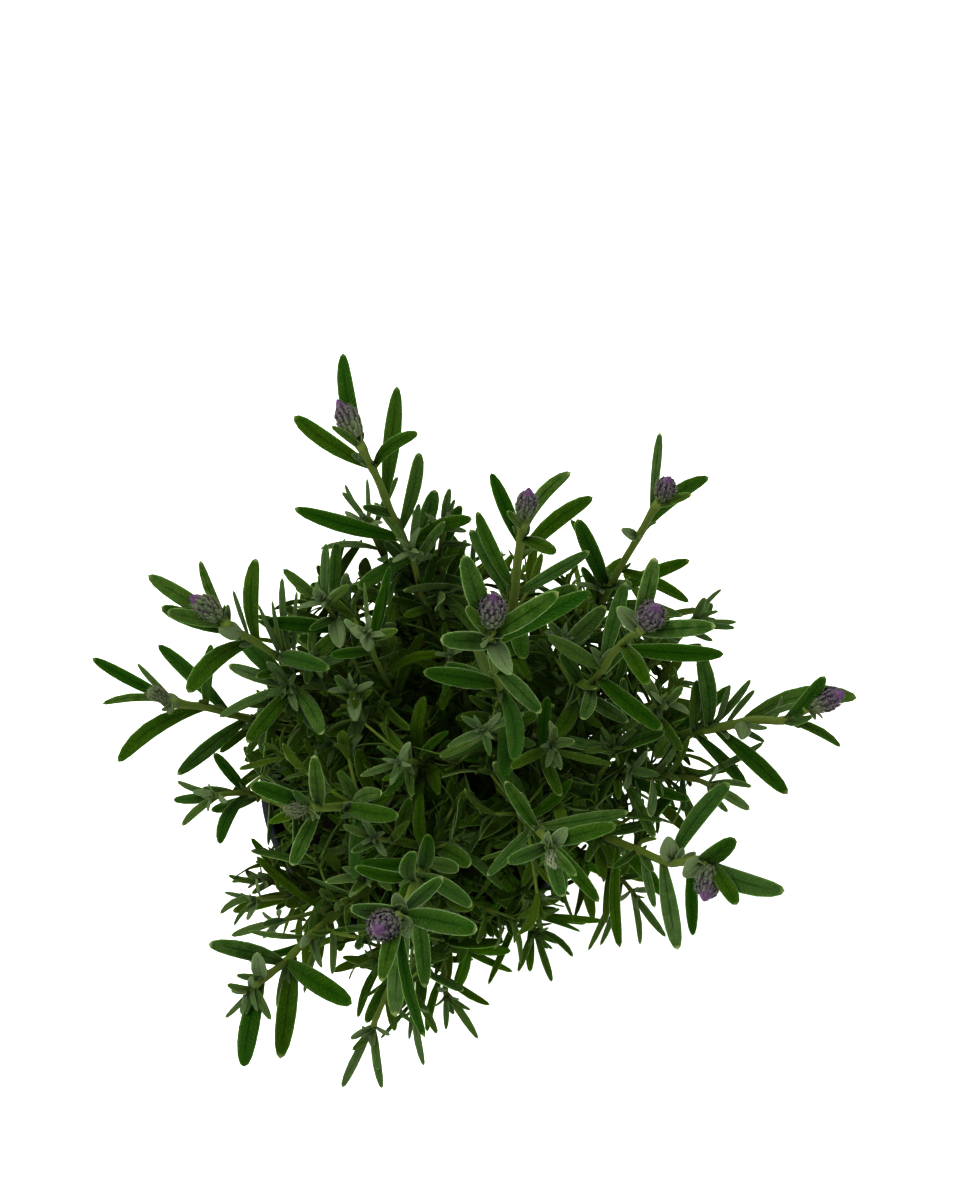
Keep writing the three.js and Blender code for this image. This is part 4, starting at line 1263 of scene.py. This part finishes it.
def growSideShoot(bm, path, distance, tip, draw):
    start = path.at(distance)
    way = tip - start
    alongStem, ownWay = sideShoots["knee"]
    knee = path.tangent(distance) * alongStem + way.normalized() * ownWay
    knee = start + knee * way.length * sideShoots["kneeAt"]
    side = Path(smoothLine([start, knee, tip], 6))
    growStem(bm, side, [], *sideShoots["thick"])
    bareFoot, bareTip = sideShoots["bare"]
    size = draw.uniform(*sideShoots["pairSize"])
    growPairs(bm, side, bareFoot, side.length - bareTip, size, draw)
    size = draw.uniform(*sideShoots["tipSize"])
    growTip(bm, side, size, draw.uniform(*sideShoots["youth"]), draw)


readLeaves = {
    "oval": 2.0,  # a leaf that shows less than this many times as long as wide is a young oval one
    "knob": 1.5,  # and below this it is still a closed knob
    "narrowest": 1.6 * mm,
    "slender": 5,  # length in widths
    "length": (12 * mm, 38 * mm),
    "ovalWidth": 1.15,
    "ovalLength": 1.35,
    "knobLength": 1.15,
    "shownLength": 1.05,
    "ovalRise": 1.5,  # in mm, towards the eye
    "knobRise": 1.4,  # in stem widths, above the stem
    "knobOut": 0.5,
    "ovalYouth": 0.95,
    "small": 9,  # pixels wide
    "smallYouth": (0.3, 0.6),
    "youth": (0.0, 0.3),
    "tipYouth": 0.6,  # at a growing tip, for leaves that aren't large
    "tipReach": 16 * mm,
    "large": 15,
    "facing": (0.35, 0.65),  # how far its upper side faces along the stem and to the eye
    "wander": 0.3,
    "bare": (6 * mm, 8 * mm),  # below the tip and below the lowest read leaf
    "flare": 0.5,
    "tufts": 0.7,
    "tuftSize": (0.5, 1.0),
    "tuftYouth": 0.6,
    "leafySize": 0.85,
}


def placeLeaf(path, distance, tipAt, pixels, thick):
    # the foot, tip, width and kind of a read leaf
    foot = path.at(distance)
    width = max(readLeaves["narrowest"], widthAt(pixels, foot))
    shown = (pixelOf(foot) - Vector(tipAt)).length / pixels
    if shown >= readLeaves["oval"]:
        shortest, longest = readLeaves["length"]
        length = min(max(width * readLeaves["slender"], shortest), longest)
        return foot, tipPoint(*tipAt, foot, length), width, kindOf(width)
    kind = "knob" if shown < readLeaves["knob"] else "oval"
    width *= readLeaves["ovalWidth"]
    length = width * max(readLeaves[kind + "Length"], shown * readLeaves["shownLength"])
    tip = tipPoint(*tipAt, foot, length)
    if kind == "knob":
        top = max(foot.z, path.at(path.nearest(*tipAt)).z) - potHeight
        tip = pointAt(*tipAt, top + thick * readLeaves["knobRise"])
        foot = foot + (eye - foot).normalized() * thick * readLeaves["knobOut"]
    else:
        tip += (eye - tip).normalized() * readLeaves["ovalRise"] * mm
    return foot, tip, width, kind


def youthOf(kind, pixels, fromTip, growing, draw):
    # the ovals are the youngest, then the small leaves and those near a growing tip
    if kind in ("oval", "knob"):
        return readLeaves["ovalYouth"]
    own = draw.uniform(*readLeaves["smallYouth" if pixels < readLeaves["small"] else "youth"])
    if growing and pixels <= readLeaves["large"]:
        return max(readLeaves["tipYouth"] - fromTip / readLeaves["tipReach"], own)
    return own


def growShoot(node, shoot, path, branches, thick, thin, draw):
    # a stem, its read leaves, the small leaves in their axils, hidden pairs and side shoots
    bm = startShoot()
    budded = "bud" in shoot
    readings = [(path.nearest(x, y), (tipX, tipY), pixels, sum(bow))
                for tipX, tipY, x, y, pixels, *bow in shoot["leaves"]]
    feet = [reading[0] for reading in readings]
    bareTip, bareLow = readLeaves["bare"]
    lowest = min([path.length - bareTip, *feet]) - bareLow
    start = clump["rootedDepth"] + pairs["lowest"]
    growStem(bm, path, feet, thick, thin, readLeaves["flare"] if budded else 0.0)
    alongStem, toEye = readLeaves["facing"]
    for distance, tipAt, pixels, bow in readings:
        foot, tip, width, kind = placeLeaf(path, distance, tipAt, pixels, thick)
        youth = youthOf(kind, pixels, path.length - distance, not budded, draw)
        tangent = path.tangent(distance)
        facing = tangent * alongStem + (eye - foot).normalized() * toEye
        growLeaf(bm, foot, tip, facing, width, kind, youth, draw, readLeaves["wander"], bow)
        if pixels > readLeaves["small"] and draw.random() < readLeaves["tufts"]:
            towards = ((tip - foot).normalized() + tangent).normalized()
            kind = draw.choice(["small", "oval"]) if budded else "small"
            size = draw.uniform(*readLeaves["tuftSize"])
            growTuft(bm, foot, towards, size, readLeaves["tuftYouth"], draw, kind)
    growPairs(bm, path, start, lowest, 1.0 if budded else readLeaves["leafySize"], draw)
    if budded:
        beside = outwards(path, path.length, draw.uniform(0, 6), 0.4)
        growTuft(bm, path.at(path.length - 0.8 * mm), beside, 0.75, 0.9, draw, "oval")
    else:
        growTip(bm, path, 1.0, 0.9, draw)
    for distance, tip in branches:
        growSideShoot(bm, path, distance, tip, draw)
    name = node.replace("stem_", "flowering_").replace("shoot_", "leafy_")
    settle(newPiece(name, bm, ["stem", "leaf"]), "foliage", node)


budShape = {
    "length": 14 * mm,
    "fullWidth": 8 * mm,
    "stoutest": 1.15,  # its least length, in widths
    "crownedFrom": 0.3,  # ripe enough for a purple end
    "body": (0.96, 0.86),  # share of its length below that end, without and with it
    "girth": 0.47,
    "barrel": (0.11, 0.78, 0.62),  # where its curve starts, how far it runs, how square it is
    "closing": (0.88, 6, 0.08),  # where the end closes, how fast, and the least girth
    "core": (0.40, 0.47),  # half its width and length
    "levels": 7,
    "perLevel": 9,
    "topFewer": 3,
    "rise": (0.02, 0.80),  # lowest level and the span of them all
    "scaleLength": 0.30,  # of the bud's length
    "scaleShorter": 0.25,
    "scaleWidth": 2.7,
    "scaleNarrower": 0.15,
    "scaleWidths": (0.8, 1.15),
    "scaleStarts": 0.86,  # how proud of the barrel
    "scaleEnds": 1.03,
    "coloured": 0.8,
    "crown": 5,  # purple scales that close over the end of a ripe bud
    "crownFoot": (0.74, 0.62),
    "crownWidth": 0.42,
    "hairs": 420,
    "hairLength": (0.5 * mm, 1.3 * mm),
    "hairWidth": (0.06 * mm, 0.02 * mm),
    "hairLean": (0.1, 0.9),
    "hairStray": 0.4,
    "hairRooted": 0.45,
}


def turnedTo(way):
    return way.to_track_quat("Z", "Y").to_matrix().to_4x4()


def growHairs(bm, spotOn, axis, ripe, draw):
    # short stiff hairs; a tone of 2 makes the bud's material colour them pale
    fuzz = startShoot()
    place, look = layersOf(fuzz)
    thick, thin = budShape["hairWidth"]
    for _ in range(budShape["hairs"]):
        share = draw.uniform(0.03, 0.97)
        root, around = spotOn(share, draw.uniform(0, 2 * math.pi), 1.0)
        bent = anyWay(draw, budShape["hairStray"])
        lean = (around + axis * draw.uniform(*budShape["hairLean"]) + bent).normalized()
        reach = draw.uniform(*budShape["hairLength"])
        turned = Matrix.Translation(root + lean * reach * budShape["hairRooted"])
        hair = bmesh.ops.create_cone(fuzz, cap_ends=True, segments=3, radius1=thick, radius2=thin,
                                     depth=reach, matrix=turned @ turnedTo(lean))["verts"]
        for vert in hair:
            vert[place] = (0.0, 0.5, 1.0)
            vert[look] = (share * ripe, 2.0, 0.5)
    handOver(fuzz, bm)


def growBud(name, shoot, draw):
    # a blunt barrel of overlapping scales with pale hairy margins, closing over a purple end
    tipX, tipY, x, y, pixels = shoot["bud"]
    foot = pointAt(x, y, shoot["top"])
    width = widthAt(pixels, foot)
    length = budShape["length"] * min(1, width / budShape["fullWidth"])
    length = max(length, width * budShape["stoutest"])
    axis = (tipPoint(tipX, tipY, foot, length) - foot).normalized()
    side = axis.orthogonal().normalized()
    crowned = shoot["ripe"] > budShape["crownedFrom"]
    body = length * budShape["body"][crowned]

    def spotOn(share, spin, proud):
        # a point on the barrel, proud of it or sunk in it
        first, span, square = budShape["barrel"]
        closes, fast, least = budShape["closing"]
        girth = math.sin(math.pi * (first + span * min(share, 1))) ** square
        girth = width * budShape["girth"] * girth
        girth *= max(least, 1 - max(0, share - closes) * fast)
        around = Matrix.Rotation(spin, 3, axis) @ side
        return foot + axis * body * share + around * girth * proud, around

    bm = startShoot()
    place, look = layersOf(bm)
    core = bmesh.ops.create_uvsphere(bm, u_segments=12, v_segments=10, radius=1)["verts"]
    halfWidth, halfLength = budShape["core"]
    egg = Matrix.Translation(foot + axis * body * halfLength) @ turnedTo(axis)
    egg = egg @ Matrix.Diagonal((width * halfWidth, width * halfWidth, body * halfLength, 1))
    for vert in core:
        vert[place] = (0.3, 0.2, 1)
        vert[look] = ((vert.co.z + 1) / 2, 0.2, 0.5)
    bmesh.ops.transform(bm, matrix=egg, verts=core)
    levels = budShape["levels"]
    lowest, span = budShape["rise"]
    for level in range(levels):
        share = level / (levels - 1)
        low = lowest + span * share
        high = low + budShape["scaleLength"] * (1 - budShape["scaleShorter"] * share)
        count = budShape["perLevel"] - (budShape["topFewer"] if level == levels - 1 else 0)
        scaleWidth = width * budShape["scaleWidth"] / count
        scaleWidth *= 1 - budShape["scaleNarrower"] * share
        for i in range(count):
            spin = 2 * math.pi * (i + 0.5 * (level % 2)) / count + stray(draw, 0.16)
            start, around = spotOn(low, spin, budShape["scaleStarts"])
            endShare = high + draw.uniform(-0.06, 0.05)
            end, around = spotOn(endShare, spin + stray(draw, 0.1), budShape["scaleEnds"])
            height = share * shoot["ripe"] * budShape["coloured"] + stray(draw, 0.06) * share
            wide = scaleWidth * draw.uniform(*budShape["scaleWidths"])
            growLeaf(bm, start, end, around, wide, "scale", height, draw, 0.4)
    crownShare, crownProud = budShape["crownFoot"]
    for i in range(budShape["crown"] if crowned else 0):
        start, around = spotOn(crownShare, 2 * math.pi * i / budShape["crown"], crownProud)
        end = foot + axis * length - around * width * 0.02
        wide = width * budShape["crownWidth"]
        growLeaf(bm, start, end, around, wide, "scale", 1.0, draw, 0.2)
    growHairs(bm, spotOn, axis, shoot["ripe"], draw)
    for face in bm.faces:
        face.material_index = 0
    settle(newPiece(name.replace("bud_", "closed_bud_"), bm, ["bud"]), "bud", name)


stemWidths = {"flowering": (3.1 * mm, 2.2 * mm), "leafy": (2.7 * mm, 1.5 * mm)}  # root and tip
shoots = {"stem_" + name: shoot for name, shoot in floweringStems.items()}
shoots.update({"shoot_" + name: shoot for name, shoot in leafyShoots.items()})
for i, (x, y, top) in enumerate(innerShoots):
    inward = [v + (m - v) * clump["innerLean"] for v, m in zip((x, y), clump["middle"])]
    shoots[f"shoot_inner_{i + 1}"] = {"top": top, "stem": [(x, y), tuple(inward)], "leaves": []}
paths = {node: stemPath(shoot, node) for node, shoot in shoots.items()}
branches = planSideShoots(paths, random.Random(3))
for node, shoot in shoots.items():
    thick, thin = shoot.get("thick", stemWidths["flowering" if "bud" in shoot else "leafy"])
    growShoot(node, shoot, paths[node], branches[node], thick, thin, random.Random(node))
print("shoots grown:", len(shoots))
for name, shoot in floweringStems.items():
    growBud("bud_" + name, shoot, random.Random(name))
print("buds grown:", len(floweringStems))


# Pot and compost

potShape = {
    "rim": 65 * mm,
    "lipWidth": 3.6 * mm,
    "lipDepth": 11 * mm,
    "top": 61.6 * mm,
    "foot": 46 * mm,
    "wall": 1.3 * mm,
    "floor": 2.2 * mm,
    "bend": 1.2 * mm,  # of the lip's two top edges
    "lipWall": 4 * mm,  # below the rim
    "innerBend": 1.5 * mm,
    "footEdge": [(-2, 0), (-0.6, 0.5), (0, 2)],  # in mm, from the foot's corner
    "lipEdge": [(-1.1, 0), (-0.3, 0.4), (0, 1.5)],  # in mm, from the lip's lower corner
    "wallSteps": 6,
    "sides": 120,
    "holes": 6,
    "holeRadius": 4.5 * mm,
    "holeCircle": 34 * mm,
    "holeSides": 24,
    "edges": (0.25 * mm, 2, 50),  # bevel width, its segments, and the least angle in degrees
}


def spun(profile, sides):
    # a closed shell from a profile of (radius, height) points whose ends lie on the axis
    bm = bmesh.new()
    verts = [bm.verts.new((radius, 0, z)) for radius, z in profile]
    for a, b in zip(verts, verts[1:]):
        bm.edges.new((a, b))
    bmesh.ops.spin(bm, geom=bm.verts[:] + bm.edges[:], cent=(0, 0, 0), axis=(0, 0, 1),
                   angle=2 * math.pi, steps=sides, use_merge=True)
    bmesh.ops.remove_doubles(bm, verts=bm.verts, dist=0.005 * mm)
    bmesh.ops.recalc_face_normals(bm, faces=bm.faces)
    return bm


def makePot():
    s = potShape
    lipFoot = potHeight - s["lipDepth"]
    inner = s["rim"] - s["lipWidth"]
    arc = [(math.sin(a), math.cos(a)) for a in (0.0, 0.45, 0.95, math.pi / 2)]
    bend, steps = s["bend"], s["wallSteps"]
    profile = [(0, 0)] + [(s["foot"] + x * mm, z * mm) for x, z in s["footEdge"]]
    footTop = profile[-1][1]
    profile += [(s["foot"] + (s["top"] - s["foot"]) * k / steps,
                 footTop + (lipFoot - footTop) * k / steps) for k in range(1, steps + 1)]
    profile += [(s["rim"] + x * mm, lipFoot + z * mm) for x, z in s["lipEdge"]]
    profile += [(s["rim"], potHeight - s["lipWall"])]
    profile += [(s["rim"] - bend + bend * c, potHeight - bend + bend * d) for d, c in arc]
    profile += [(inner + bend - bend * d, potHeight - bend + bend * c) for d, c in arc]
    profile += [(s["top"] - s["wall"] - 0.2 * mm, lipFoot - 2 * mm)]
    profile += [(s["foot"] - s["wall"], s["floor"] + s["innerBend"]),
                (s["foot"] - s["wall"] - s["innerBend"], s["floor"]), (0, s["floor"])]
    shell = newPiece("nursery_pot", spun(profile, s["sides"]), ["pot"])
    drill = bmesh.new()
    for i in range(s["holes"]):
        angle = 2 * math.pi * (i + 0.5) / s["holes"]
        x, y = math.cos(angle) * s["holeCircle"], math.sin(angle) * s["holeCircle"]
        spot = Matrix.Translation((x, y, 0))
        radius = s["holeRadius"]
        bmesh.ops.create_cone(drill, cap_ends=True, segments=s["holeSides"], radius1=radius,
                              radius2=radius, depth=4 * s["floor"], matrix=spot)
    cutter = newPiece("drill", drill, ["pot"])
    holes = shell.modifiers.new("holes", "BOOLEAN")
    holes.object = cutter
    holes.operation = "DIFFERENCE"
    holes.solver = "EXACT"
    graph = bpy.context.evaluated_depsgraph_get()
    cut = bpy.data.meshes.new_from_object(shell.evaluated_get(graph))
    shell.modifiers.clear()
    shell.data = cut
    bpy.data.objects.remove(cutter)
    bevel = shell.modifiers.new("edges", "BEVEL")
    bevel.width, bevel.segments, degrees = s["edges"]
    bevel.limit_method = "ANGLE"
    bevel.angle_limit = math.radians(degrees)
    settle(shell, "pot", "pot")


compost = {
    "mound": 3 * mm,
    "spread": 60,  # in mm, of the mound
    "lumps": 70,  # how close together they are
    "gap": 0.5 * mm,  # to the pot
    "wallTop": 105 * mm,  # up to which the pot widens
    "rings": 26,
    "sides": 90,
    "crumbs": 760,
    "crumbSize": (0.5 * mm, 2.1 * mm),
    "fibres": 90,
}


def soilHeight(x, y):
    # the uneven top of the compost, mounded round the crown
    away = math.hypot(x, y) / compost["spread"] / mm
    spot = Vector((x, y, 0)) * compost["lumps"]
    height = soilTop + compost["mound"] * 0.6 * (1 - away**2)
    return height + noise.noise(spot) * 1.5 * mm + noise.noise(spot * 3.1) * 0.7 * mm


def compostRadius(z):
    # the pot's inside at a height, less a small gap
    s = potShape
    wider = (s["top"] - s["foot"]) * min(1, z / compost["wallTop"])
    return s["foot"] + wider - s["wall"] - compost["gap"]


def makeCompost():
    foot = potShape["floor"] + 0.35 * mm
    bend = potShape["innerBend"]
    edge = compostRadius(soilTop)
    low = compostRadius(foot)
    profile = [(0, foot), (low - bend, foot), (low, foot + bend)]
    profile += [(compostRadius(z), z) for z in (50 * mm, soilTop - 5 * mm)]
    profile += [(edge, soilTop - bend)]
    rings = compost["rings"]
    profile += [(edge * (1 - k / rings), soilTop) for k in range(1, rings + 1)]
    bm = spun(profile, compost["sides"])
    for vert in bm.verts:
        if vert.co.z > soilTop - 0.5 * mm:
            vert.co.z = soilHeight(vert.co.x, vert.co.y)
    body = newPiece("compost", bm, ["soil"])
    settle(body, "soil", "soil")
    draw = random.Random(5)
    bm = bmesh.new()
    for i in range(compost["crumbs"]):
        angle, out = draw.uniform(0, 2 * math.pi), math.sqrt(draw.random()) * (edge - 2 * mm)
        x, y = math.cos(angle) * out, math.sin(angle) * out
        size = draw.uniform(*compost["crumbSize"]) * draw.uniform(0.5, 1)
        spot = Matrix.Translation((x, y, soilHeight(x, y) + size * 0.2))
        turn = Matrix.Rotation(draw.uniform(0, 6), 4, anyWay(draw))
        long = 4.5 if i < compost["fibres"] else draw.uniform(1, 1.6)
        thin = 0.35 if i < compost["fibres"] else draw.uniform(0.6, 1)
        shape = spot @ turn @ Matrix.Diagonal((size * long, size * thin, size * thin, 1))
        bmesh.ops.create_icosphere(bm, subdivisions=1, radius=1, matrix=shape)
    settle(newPiece("compost_crumbs", bm, ["soil"]), "soil", "soil")


makePot()
makeCompost()
print("pot and compost made")
